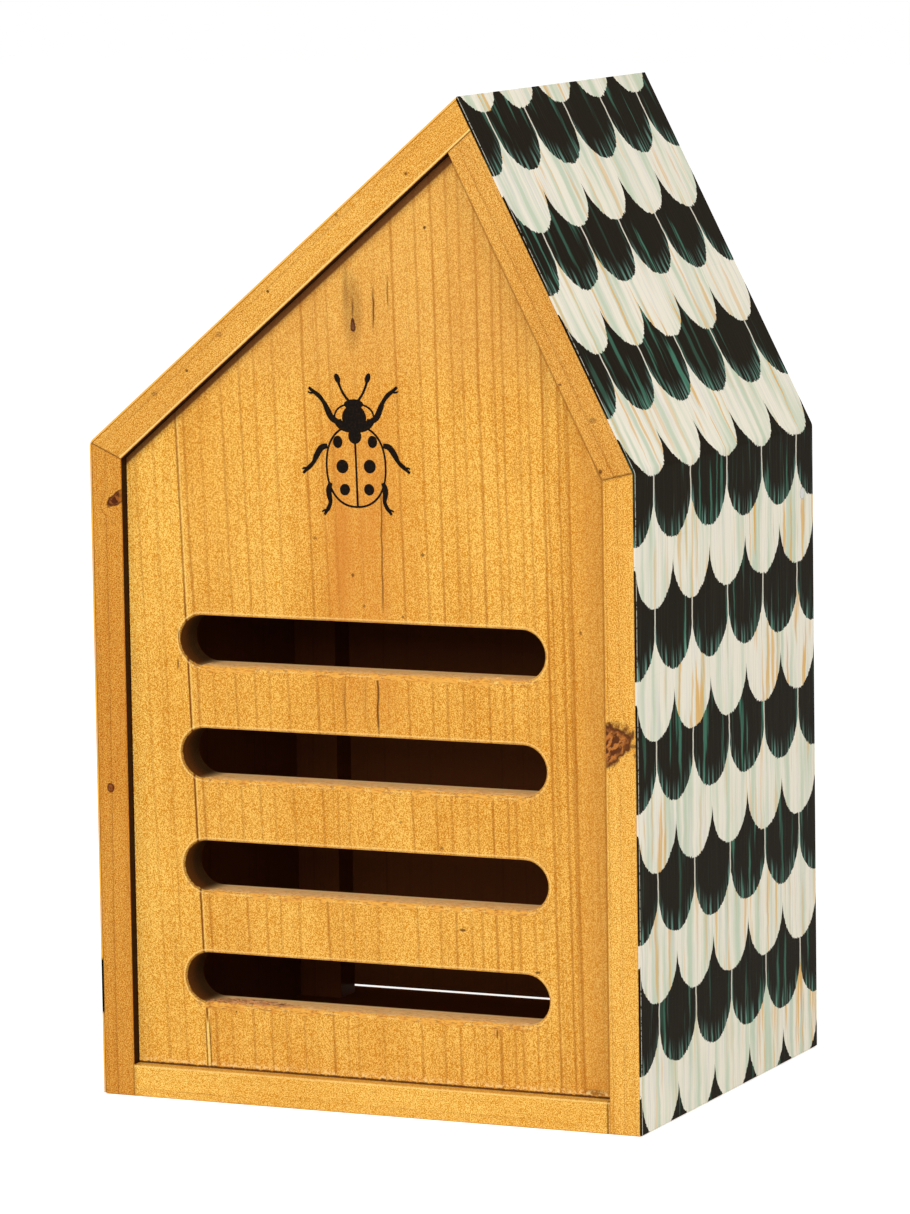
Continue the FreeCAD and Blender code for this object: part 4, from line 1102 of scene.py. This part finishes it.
def print_material(name, side, eave, slope, wiped):
    """Glossy print on one side; the girth is the height on the wall, then the way up the slope.

    wiped is one where the stain of the boards was wiped over the front edge of the sheet too, all but one
    spot low down, and zero where that edge shows the print, with a painted highlight along it. Either way
    the print is darkened by a quarter at the front edge as painted shade.
    """
    material, shader, place = start_material(name)
    x, y, z = place
    on_roof = (z - eave).math("MAXIMUM", 0.0)
    girth = z + on_roof * (1.0 / math.sin(slope) - 1.0)
    pattern = use_group(material.node_tree, shingle, {"Depth": y - FRONT_Y, "Girth": girth + side * 2.0})
    grit = noise(x * 1.3, y, z * 1.3)
    cut_edge = (y - FRONT_Y).fall(0.15, 0.4) * (1.0 - z.near(*BARE_SPOT).rise(0.0, 0.1)) * wiped
    # painted highlight along the front edge of the sheet where it shows the print
    edge_highlight = (y - FRONT_Y).near(0.35, 0.3) * grit.rise(0.35, 0.5) * (0.8 - wiped * 0.8)
    # painted shade: the print is darker at the sheet's front edge
    print_colour = dim(pattern["Colour"], (y - FRONT_Y).rise(0.2, 0.5) * 0.25 + 0.75)
    print_colour = layered(print_colour, (cut_edge, mix(grit, AMBER, HONEY)), (edge_highlight, IVORY))
    paint(shader, print_colour, pattern["Height"] * 0.12 + 0.12, PRINT_GLOSS)
    roughen(shader, pattern["Height"], PRINT_DEPTH)
    return material


finish("left_print_sheet", print_material("left_print_sheet", -1.0, LEFT_EAVE, LEFT_SLOPE, 1.0))
finish("right_print_sheet", print_material("right_print_sheet", 1.0, RIGHT_EAVE, RIGHT_SLOPE, 0.0))
print("printed sheets finished")

# %% [markdown]
# The ladybird on the gable is black ink, stamped on the stained wood. Ink has hardly any thickness, but a
# thin solid of its own keeps its outline sharp at any distance, where a painted mask would blur. Every
# shape in it is a small grid: a band carried along a smooth path for legs, feelers and outlines, and rings
# round a centre for the spots. The figure is drawn once to the right of its middle line and mirrored, in
# millimetres.

# %% Bands and ovals
STROKE_BOLDNESS = 1.18


def smooth_path(points, steps=8):
    """Quadratic B-spline: each span blends three neighbours, with weights (1-t)^2/2, 1/2+t-t^2 and t^2/2."""
    points = np.asarray(points, float)
    points = np.vstack([points[:1], points, points[-1:]])
    t = np.linspace(0, 1, steps, endpoint=False)[None, :, None]
    before, middle, after = points[:-2, None], points[1:-1, None], points[2:, None]
    spans = before * (1 - t) ** 2 / 2 + middle * (0.5 + t - t * t) + after * t * t / 2
    return np.vstack([spans.reshape(-1, points.shape[1]), points[-1:]])


def stroke(points):
    """Band along a smooth path; each point is right, up and width, and half a width lies on either side."""
    path = smooth_path(points)
    path[:, 2] *= STROKE_BOLDNESS
    ahead = np.gradient(path[:, :2], axis=0)
    ahead /= np.linalg.norm(ahead, axis=1, keepdims=True)
    beside = np.stack([-ahead[:, 1], ahead[:, 0]], axis=1) * path[:, 2:] / 2
    return np.stack([path[:, :2] - beside, path[:, :2] + beside], axis=1)


def blob(middle, half_width, half_height, turned=0.0, rings=4, sides=36):
    """Filled oval: rings from the middle out, points at share times (a cos angle, b sin angle), turned."""
    share = np.linspace(0, 1, rings)[:, None]
    angle = np.linspace(0, 2 * np.pi, sides + 1)[None, :]
    across, up = share * half_width * np.cos(angle), share * half_height * np.sin(angle)
    cosine, sine = math.cos(turned), math.sin(turned)
    right, top = across * cosine - up * sine, across * sine + up * cosine
    return np.stack([middle[0] + right, middle[1] + top], axis=-1)


def hoop(middle, half_width, half_height, width, first=0.0, last=2 * np.pi, fullness=2.0, sides=72):
    """Band along a superellipse: half sizes times |cos|^(2/n) and |sin|^(2/n), from one angle to another."""
    angle = np.linspace(first, last, sides + 1)[:, None]
    offset = np.array([[-0.5, 0.5]]) * width
    across = np.sign(np.cos(angle)) * np.abs(np.cos(angle)) ** (2 / fullness) * (half_width + offset)
    up = np.sign(np.sin(angle)) * np.abs(np.sin(angle)) ** (2 / fullness) * (half_height + offset)
    return np.stack([middle[0] + across, middle[1] + up], axis=-1)


print("helpers for bands, ovals and hoops ready")

# %% [markdown]
# A grid of points becomes a mesh when each square between neighbours is made a face. Where a grid closes on
# itself or shrinks to a point, some of its points coincide, so they are merged. Every piece that is added
# rides on the house and takes one of its material slots.

# %% Grids and pieces
SAME_PLACE = 1e-7


def grid_faces(rows, columns, first):
    """Corner numbers of every square between neighbouring points of a grid, counted from a first vertex."""
    corner = first + np.arange(rows * columns).reshape(rows, columns)
    square = (corner[:-1, :-1], corner[1:, :-1], corner[1:, 1:], corner[:-1, 1:])
    return np.stack(square, axis=-1).reshape(-1, 4)


def make_piece(name, places, faces, material):
    """Mesh object from places in millimetres; seams and poles are merged, and it rides on the house."""
    mesh = bpy.data.meshes.new(name)
    mesh.from_pydata((np.asarray(places) * MM).tolist(), [], [list(face) for face in faces])
    shape = bmesh.new()
    shape.from_mesh(mesh)
    bmesh.ops.remove_doubles(shape, verts=shape.verts, dist=SAME_PLACE)
    bmesh.ops.dissolve_degenerate(shape, edges=shape.edges, dist=SAME_PLACE)
    shape.to_mesh(mesh)
    shape.free()
    mesh.materials.append(material)
    piece = bpy.data.objects.new(name, mesh)
    bpy.context.collection.objects.link(piece)
    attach(piece, "house")
    return piece


print("helpers for grids and pieces ready")

# %% [markdown]
# A seven-spot ladybird seen from above: a domed pair of wing cases with a seam, a dark shield behind the
# head with a pale patch on each side, short clubbed feelers and six legs. Each part of it is a film of ink.

# %% Ladybird drawn
ink_middle = [
    # the wing cases and the seam between them
    hoop((0.0, -6.6), 9.5, 11.9, 0.62, fullness=2.25),
    stroke([(0.0, 1.5, 0.55), (0.05, -8.0, 0.5), (0.0, -18.4, 0.6)]),
    # the shield: its outline, its dark middle and its hind edge
    hoop((0.0, 7.6), 6.3, 4.1, 0.55, fullness=2.3),
    blob((0.0, 7.5), 3.9, 4.0),
    hoop((0.0, 7.6), 5.3, 2.9, 2.1, first=math.radians(186), last=math.radians(354), fullness=2.2, sides=48),
    # the head, and the spot that the wing cases share
    blob((0.0, 11.6), 3.1, 1.5),
    blob((0.0, 2.3), 2.1, 2.3),
]
ink_right = [
    # a feeler with its club, and three spots
    stroke([(1.5, 12.6, 0.7), (3.0, 14.4, 0.6), (4.0, 16.4, 0.6), (4.7, 18.4, 0.7)]),
    blob((4.9, 19.2), 0.85, 1.5, turned=-0.35),
    blob((5.6, 0.6), 1.5, 1.8),
    blob((4.4, -6.6), 1.9, 2.0),
    blob((3.9, -13.4), 1.6, 1.7, turned=0.4),
    # the front, middle and hind leg, each followed by its claw
    stroke([(5.6, 6.6, 1.4), (7.4, 7.6, 1.6), (8.8, 10.8, 1.5), (9.6, 12.4, 0.9), (11.0, 14.2, 1.2),
            (12.8, 15.4, 0.9), (14.2, 16.6, 0.7)]),
    stroke([(12.6, 15.2, 0.6), (13.6, 14.9, 0.5), (14.6, 15.3, 0.3)]),
    stroke([(9.0, -0.6, 1.2), (11.0, -0.8, 1.6), (12.8, -3.6, 1.5), (13.6, -5.4, 0.9), (15.2, -6.8, 1.2),
            (16.2, -7.6, 0.8), (17.2, -8.6, 0.6)]),
    stroke([(15.8, -7.2, 0.6), (16.8, -7.0, 0.5), (17.4, -7.4, 0.3)]),
    stroke([(8.4, -11.4, 1.0), (9.2, -13.2, 1.5), (9.0, -15.6, 1.4), (8.6, -17.0, 0.9), (9.4, -18.8, 1.1),
            (10.2, -19.8, 0.8), (10.8, -20.8, 0.6)]),
    stroke([(9.8, -19.4, 0.5), (10.8, -19.4, 0.5), (11.6, -19.9, 0.3)]),
]
films = ink_middle + ink_right + [film * (-1, 1) for film in ink_right]
print("ladybird:", len(films), "films of ink")

# %% [markdown]
# The films are turned by the lean of the figure and laid on the panel. Each lies a few thousandths of a
# millimetre higher than the one before, so that where two cross, one of them is clearly on top. A film drawn
# the other way round has its faces turned, and a Solidify modifier gives the ink its depth.

# %% Ladybird in ink
LADYBIRD_PLACE = (-2.3, 198.4)
LADYBIRD_LEAN = math.radians(1.6)
INK_GLOSS = 0.05
INK_LIFT = 0.03
INK_STEP = 0.004
INK_DEPTH = 0.16
INK_DARK, INK_WORN = tint(12, 8, 5), tint(34, 22, 12)

ink_places, ink_faces, laid = [], [], 0
for order, film in enumerate(films):
    right, up = film[..., 0], film[..., 1]
    x = LADYBIRD_PLACE[0] + right * math.cos(LADYBIRD_LEAN) - up * math.sin(LADYBIRD_LEAN)
    z = LADYBIRD_PLACE[1] + right * math.sin(LADYBIRD_LEAN) + up * math.cos(LADYBIRD_LEAN)
    y = np.full_like(x, PANEL_Y - INK_LIFT - order * INK_STEP)
    squares = grid_faces(*x.shape, laid)
    ink_places.append(np.stack([x, y, z], axis=-1).reshape(-1, 3))
    corner = ink_places[-1][squares - laid][:, :, [0, 2]]
    area = np.cross(corner[:, 2] - corner[:, 0], corner[:, 3] - corner[:, 1]).sum()
    ink_faces.extend(squares if area > 0 else squares[:, ::-1])
    laid += x.size

ink_paint, ink_shader, (x, y, z) = start_material("stamp_ink")
ink_mottle = noise(x * 1.6, y, z * 1.6, detail=2.0)
paint(ink_shader, mix(ink_mottle.rise(0.4, 0.75), INK_DARK, INK_WORN), ink_mottle * 0.3 + 0.5, INK_GLOSS)
ladybird = make_piece("ladybird_ink", np.vstack(ink_places), ink_faces, ink_paint)
thicken = ladybird.modifiers.new("ink_depth", "SOLIDIFY")
thicken.thickness = INK_DEPTH * MM
thicken.offset = -1.0
print("ladybird laid with", laid, "points")

# %% [markdown]
# The torn wood and the splinters are tubes: rings of points, joined by squares and closed at both ends.
# What makes them ragged is smooth noise, worked out here with numpy, because it moves the points of a mesh.
# A seeded generator gives the numbers, so every run makes the same shapes.

# %% Tubes and lattice noise
draw = np.random.default_rng(11)


def tube_faces(count, rings, sides):
    """Corner numbers of closed tubes: squares round each ring and along it, and a cap at either end."""
    corner = np.arange(count * rings * sides).reshape(count, rings, sides)
    after = np.roll(corner, -1, axis=2)
    walls = np.stack([corner[:, :-1], after[:, :-1], after[:, 1:], corner[:, 1:]], axis=-1).reshape(-1, 4)
    return [*walls, *corner[:, 0, ::-1], *corner[:, -1]]


def rods(centres, first_side, second_side, sides):
    """Closed rods: points at centre + cos angle times one side vector + sin angle times the other.

    centres, first_side and second_side have the shape (rods, rings, 3); the side vectors hold the radii.
    """
    angle = np.arange(sides) * 2 * np.pi / sides
    ring = first_side[:, :, None] * np.cos(angle)[:, None] + second_side[:, :, None] * np.sin(angle)[:, None]
    places = (centres[:, :, None] + ring).reshape(-1, 3)
    return places, tube_faces(*centres.shape[:2], sides)


def lattice_noise(along, down, size):
    """Smooth noise: random values on a lattice, with the four nearest blended by the curve 3t^2 - 2t^3."""
    values = draw.random((size, size))
    column, row = np.floor(along).astype(int), np.floor(down).astype(int)
    right, lower = along - column, down - row
    right, lower = right * right * (3 - 2 * right), lower * lower * (3 - 2 * lower)
    first, second = column % size, (column + 1) % size
    upper_row, lower_row = row % size, (row + 1) % size
    upper = values[first, upper_row] * (1 - right) + values[second, upper_row] * right
    under = values[first, lower_row] * (1 - right) + values[second, lower_row] * right
    return upper * (1 - lower) + under * lower


print("tube and noise helpers ready")

# %% [markdown]
# A router bit tears the wood at the lower lip of each slot. What stays is a ragged skin over the lip, worst
# at the left of the lowest slot. The skin is a surface of two parameters: one runs along the slot, the
# other along the inner wall, round the eased edge and on to the front. Smooth noise lifts it off the wood,
# and it closes on itself under the surface.

# %% Torn lips of the slots
LIP_SPAN = (SLOT_LEFT + 4.8, SLOT_RIGHT - 4.6)
LIP_EASE = 0.8
LIP_DEPTH = 7.0
LIP_STEPS = 300
LIP_RAGGED = 0.28
LIP_SUNK = 0.05
lip_heights = np.array(SLOT_CENTRES) - SLOT_HEIGHT / 2
# where each lip is torn worst, how far that reaches and how high it stands, in millimetres; lowest slot first
TEARS = np.array([(-45.0, 15.0, 1.15), (-20.0, 16.0, 0.4), (30.0, 14.0, 0.45), (38.0, 12.0, 0.6)])

# profile of a lip as depth behind the panel's face and height over the lip: inner wall, ease, front
quarter = np.linspace(0, np.pi / 2, 6)
inner_run = np.linspace(LIP_DEPTH, LIP_EASE, 8)[:-1]
front_run = np.linspace(0.3, 1.4, 4)
no_rise = np.zeros_like(inner_run)
depth_in = np.concatenate([inner_run, LIP_EASE * (1 - np.sin(quarter)), np.zeros_like(front_run)])
height_up = np.concatenate([no_rise, LIP_EASE * (np.cos(quarter) - 1), -LIP_EASE - front_run])
facing = np.concatenate([no_rise, quarter, np.full_like(front_run, np.pi / 2)])
way = np.concatenate([[0], np.cumsum(np.hypot(np.diff(depth_in), np.diff(height_up)))])

lip_x = np.linspace(*LIP_SPAN, LIP_STEPS)
grid_x, grid_way = np.meshgrid(lip_x, way, indexing="ij")
skins = []
for lip_height, (worst, reach, rise_mm) in zip(lip_heights, TEARS):
    coarse = lattice_noise(grid_x * 0.32, grid_way * 0.5, 64)
    fine = lattice_noise(grid_x * 1.3 + grid_way * 0.4, grid_way * 0.9, 128)
    tear = LIP_RAGGED + (rise_mm - LIP_RAGGED) * np.exp(-(((grid_x - worst) / reach) ** 2))
    fade = np.clip(np.minimum(grid_x - LIP_SPAN[0], LIP_SPAN[1] - grid_x) / 3, 0, 1)
    window = np.sin(np.pi * (grid_way / way[-1])) ** 0.7
    lifted = tear * fade * window * np.clip(coarse * 1.1 + fine * 0.7 - 0.55, 0, None) - LIP_SUNK
    y = PANEL_Y + depth_in - lifted * np.sin(facing)
    z = lip_height + height_up + lifted * np.cos(facing)
    outer = np.stack([grid_x, y, z], axis=-1)
    under = np.array([(0.6, -2.2), (2.0, -1.2), (LIP_DEPTH, -0.6)])
    buried = np.empty((LIP_STEPS, len(under), 3))
    buried[..., 0] = lip_x[:, None]
    buried[..., 1:] = under + (PANEL_Y, lip_height)
    skins.append(np.concatenate([outer, buried], axis=1))
skins = np.array(skins)
lip_places, lip_faces = skins.reshape(-1, 3), tube_faces(*skins.shape[:3])
print("lip skins:", len(skins), "with", len(lip_places), "points")

# %% [markdown]
# Loose fibres stand off the torn lips. Each is a three-sided sliver that bends and thins to its tip. All of
# them are worked out at once, as arrays with one row per fibre.

# %% Loose fibres
FIBRES_PER_SLOT = 90
fibre_count = FIBRES_PER_SLOT * len(lip_heights)
fibre_slot = np.repeat(np.arange(len(lip_heights)), FIBRES_PER_SLOT)
cluster = draw.beta(0.45, 0.55, fibre_count)
clustered = draw.random(fibre_count) < 0.45
root_share = np.where(clustered, cluster, draw.random(fibre_count))
root_x = LIP_SPAN[0] + (LIP_SPAN[1] - LIP_SPAN[0]) * root_share
swing = draw.uniform(0.1, 1.5, fibre_count)
root_y = PANEL_Y + LIP_EASE - LIP_EASE * np.sin(swing)
root_z = lip_heights[fibre_slot] - LIP_EASE + LIP_EASE * np.cos(swing)
root = np.stack([root_x, root_y, root_z], axis=-1)
heading = np.stack([draw.normal(0, 0.9, fibre_count), -np.sin(swing), np.cos(swing) * 0.8], axis=-1)
heading /= np.linalg.norm(heading, axis=1, keepdims=True)
bend = np.stack([draw.normal(0, 0.5, fibre_count), draw.uniform(-0.2, 0.2, fibre_count),
                 draw.uniform(-0.7, 0.1, fibre_count)], axis=-1)
fibre_length = draw.gamma(2.2, 0.42, fibre_count).clip(0.4, 2.4)[:, None, None]
fibre_radius = draw.uniform(0.05, 0.11, fibre_count)[:, None, None]
s = np.linspace(0, 1, 5)[None, :, None]
fibre_centres = root[:, None] + fibre_length * (heading[:, None] * s + bend[:, None] * s * s)
beside = np.cross(heading, (0.31, 0.22, 0.92))
beside /= np.linalg.norm(beside, axis=1, keepdims=True)
above = np.cross(heading, beside)
thinning = fibre_radius * (1 - 0.85 * s)
fibre_places, fibre_faces = rods(fibre_centres, beside[:, None] * thinning, above[:, None] * thinning, 3)
print("fibres:", fibre_count)

# %% [markdown]
# Torn wood is paler than the face of the panel, because the stain never reached it. Only the skin on the
# front is as brown as the panel. Where the lip is torn worst it is darker. Its crevices are painted dark as
# shade, deepest where it is torn worst.

# %% Raw wood of the lips
# the worst tear lies below these heights and to the left of these places
WORST_BELOW = (SLOT_FOOT + 1.5, SLOT_FOOT + 3.5)
WORST_LEFT = (-30.0, -22.0)
FIBRE_CREAM, FIBRE_ORANGE = tint(255, 214, 142), tint(246, 176, 100)
FIBRE_BROWN, FIBRE_PINK, CREVICE_SHADE_DARK = tint(196, 122, 48), tint(200, 136, 88), tint(96, 52, 26)
raw_wood, raw_shader, (x, y, z) = start_material("torn_fibres")
torn = noise(x * 0.7, y * 1.7, z * 1.7, detail=4.0, rough=0.65)
front_skin = mix(torn.rise(0.5, 0.66), AMBER, FIBRE_BROWN)
worst_tear = z.fall(*WORST_BELOW) * x.fall(*WORST_LEFT) * (y - PANEL_Y).rise(0.0, 0.4)
# painted shade in the crevices of the torn wood, deepest where it is torn worst
crevice_shade = noise(x * 0.45, y * 2.2, z * 2.2, detail=3.0).rise(0.54, 0.63) * (worst_tear * 0.4 + 0.4)
torn_colour = layered(
    FIBRE_CREAM,
    (torn.rise(0.36, 0.64), FIBRE_ORANGE),
    ((y - PANEL_Y).fall(0.2, 0.9) * 0.9, front_skin),
    (worst_tear * 0.8, dim(FIBRE_PINK, torn * 2.2 - 0.15)),
    (crevice_shade, CREVICE_SHADE_DARK),
)
paint(raw_shader, torn_colour, torn * 0.2 + 0.7, WOOD_GLOSS)
roughen(raw_shader, torn, 0.2)
make_piece("slot_lips", lip_places, lip_faces, raw_wood)
make_piece("lip_fibres", fibre_places, fibre_faces, raw_wood)
print("lips and fibres made")

# %% [markdown]
# A few larger splinters stand off the wood: one along the inner edge of the steep roof board near its eave,
# curls beside the left end of the top slot, and slivers below the lip of the lowest. Each is a rod along a
# slightly bowed line, thickest a third of the way along and thin at both ends.


# %% Splinters
def on_steep_roof(along, into):
    """x and height of a point of the right roof board, from its way up the slope and its depth."""
    outward = along * math.cos(RIGHT_SLOPE) + into * math.sin(RIGHT_SLOPE)
    return HALF_WIDTH - outward, RIGHT_EAVE + along * math.sin(RIGHT_SLOPE) - into * math.cos(RIGHT_SLOPE)


eave_root, eave_tip = on_steep_roof(11.0, 9.9), on_steep_roof(2.6, 10.4)
high_slot = SLOT_CENTRES[-1]
# foot and tip of each splinter, then how far it bows forward and its half thickness, in millimetres
SPLINTERS = np.array([
    (eave_root[0], FRONT_Y + 0.1, eave_root[1], eave_tip[0], FRONT_Y - 0.2, eave_tip[1], 0.2, 0.30),
    (SLOT_LEFT - 0.1, PANEL_Y, high_slot + 2.2, SLOT_LEFT + 0.2, PANEL_Y - 0.3, high_slot - 1.8, 0.35, 0.14),
    (SLOT_LEFT - 0.4, PANEL_Y, high_slot - 7.0, SLOT_LEFT - 0.1, PANEL_Y - 0.3, high_slot - 10.0, 0.3, 0.13),
    (39.2, PANEL_Y, SLOT_FOOT - 1.0, 39.8, PANEL_Y - 0.2, SLOT_FOOT - 4.8, 0.25, 0.20),
    (40.8, PANEL_Y, SLOT_FOOT - 0.6, 41.2, PANEL_Y - 0.3, SLOT_FOOT - 3.2, 0.3, 0.15),
    (46.0, PANEL_Y, SLOT_FOOT - 0.8, 50.4, PANEL_Y - 0.3, SLOT_FOOT - 1.6, 0.3, 0.22),
    (-48.0, PANEL_Y, SLOT_FOOT - 0.8, -42.5, PANEL_Y - 0.3, SLOT_FOOT - 1.2, 0.3, 0.24),
    (-38.0, PANEL_Y, SLOT_FOOT - 0.7, -31.5, PANEL_Y - 0.3, SLOT_FOOT - 1.3, 0.3, 0.22),
])
s = np.linspace(0, 1, 9)[None, :, None]
foot, tip = SPLINTERS[:, None, 0:3], SPLINTERS[:, None, 3:6]
line_of = foot + (tip - foot) * s + SPLINTERS[:, None, 6:7] * np.array([0.0, -1.0, 0.0]) * np.sin(np.pi * s)
run = (tip - foot) / np.linalg.norm(tip - foot, axis=2, keepdims=True)
out_side = np.cross(run, (0.0, 1.0, 0.0))
out_side /= np.linalg.norm(out_side, axis=2, keepdims=True)
swell = SPLINTERS[:, None, 7:8] * (0.12 + 2.2 * s**0.5 * (1 - s))
splinter_places, splinter_faces = rods(line_of, out_side * swell, np.cross(run, out_side) * swell, 5)
make_piece("splinters", splinter_places, splinter_faces, raw_wood)
print("splinters:", len(SPLINTERS))

# %% [markdown]
# The metal is small: bright nails that the door swings on, plain wire pins, a brass turn button and a zinc
# hanger. They share one recipe, a metal whose colour is clouded by tarnish and whose gloss is broken by
# fine scratches along one direction.

# %% Metal
METALS = {
    "nail_steel": (tint(196, 194, 188), tint(150, 144, 134), 0.3, ["pivot_nails"]),
    "pin_steel": (tint(170, 168, 164), tint(110, 100, 90), 0.4, [
        "floor_pins", "front_panel_pins", "stop_strip_pins", "gable_pins", "eave_pins", "ridge_pins"]),
    "brass": (tint(214, 172, 96), tint(140, 96, 44), 0.32, ["turn_button", "turn_button_screw"]),
    "zinc_steel": (tint(190, 194, 198), tint(142, 146, 150), 0.36, ["keyhole_plate", "keyhole_screws"]),
}


def metal_material(name, bright, dull, gloss):
    """Metal with cloudy tarnish and fine scratches across it."""
    material, shader, (x, y, z) = start_material(name)
    tarnish = noise(x * 0.35, y * 0.35, z * 0.35, detail=3.0).rise(0.4, 0.7)
    scratch = noise(x * 0.6, y * 8.0, z * 8.0, detail=2.0)
    feed(shader.inputs["Base Color"], mix(tarnish, bright, dull))
    feed(shader.inputs["Metallic"], 1.0)
    feed(shader.inputs["Roughness"], scratch * 0.2 + tarnish * 0.15 + gloss - 0.1)
    roughen(shader, scratch, 0.02)
    return material


for metal, (bright, dull, gloss, members) in METALS.items():
    coat = metal_material(metal, bright, dull, gloss)
    for member in members:
        finish(member, coat)
print("metals finished:", ", ".join(METALS))

# %% [markdown]
# The last cell closes the script.

# %% Finish
print("scene dressed")
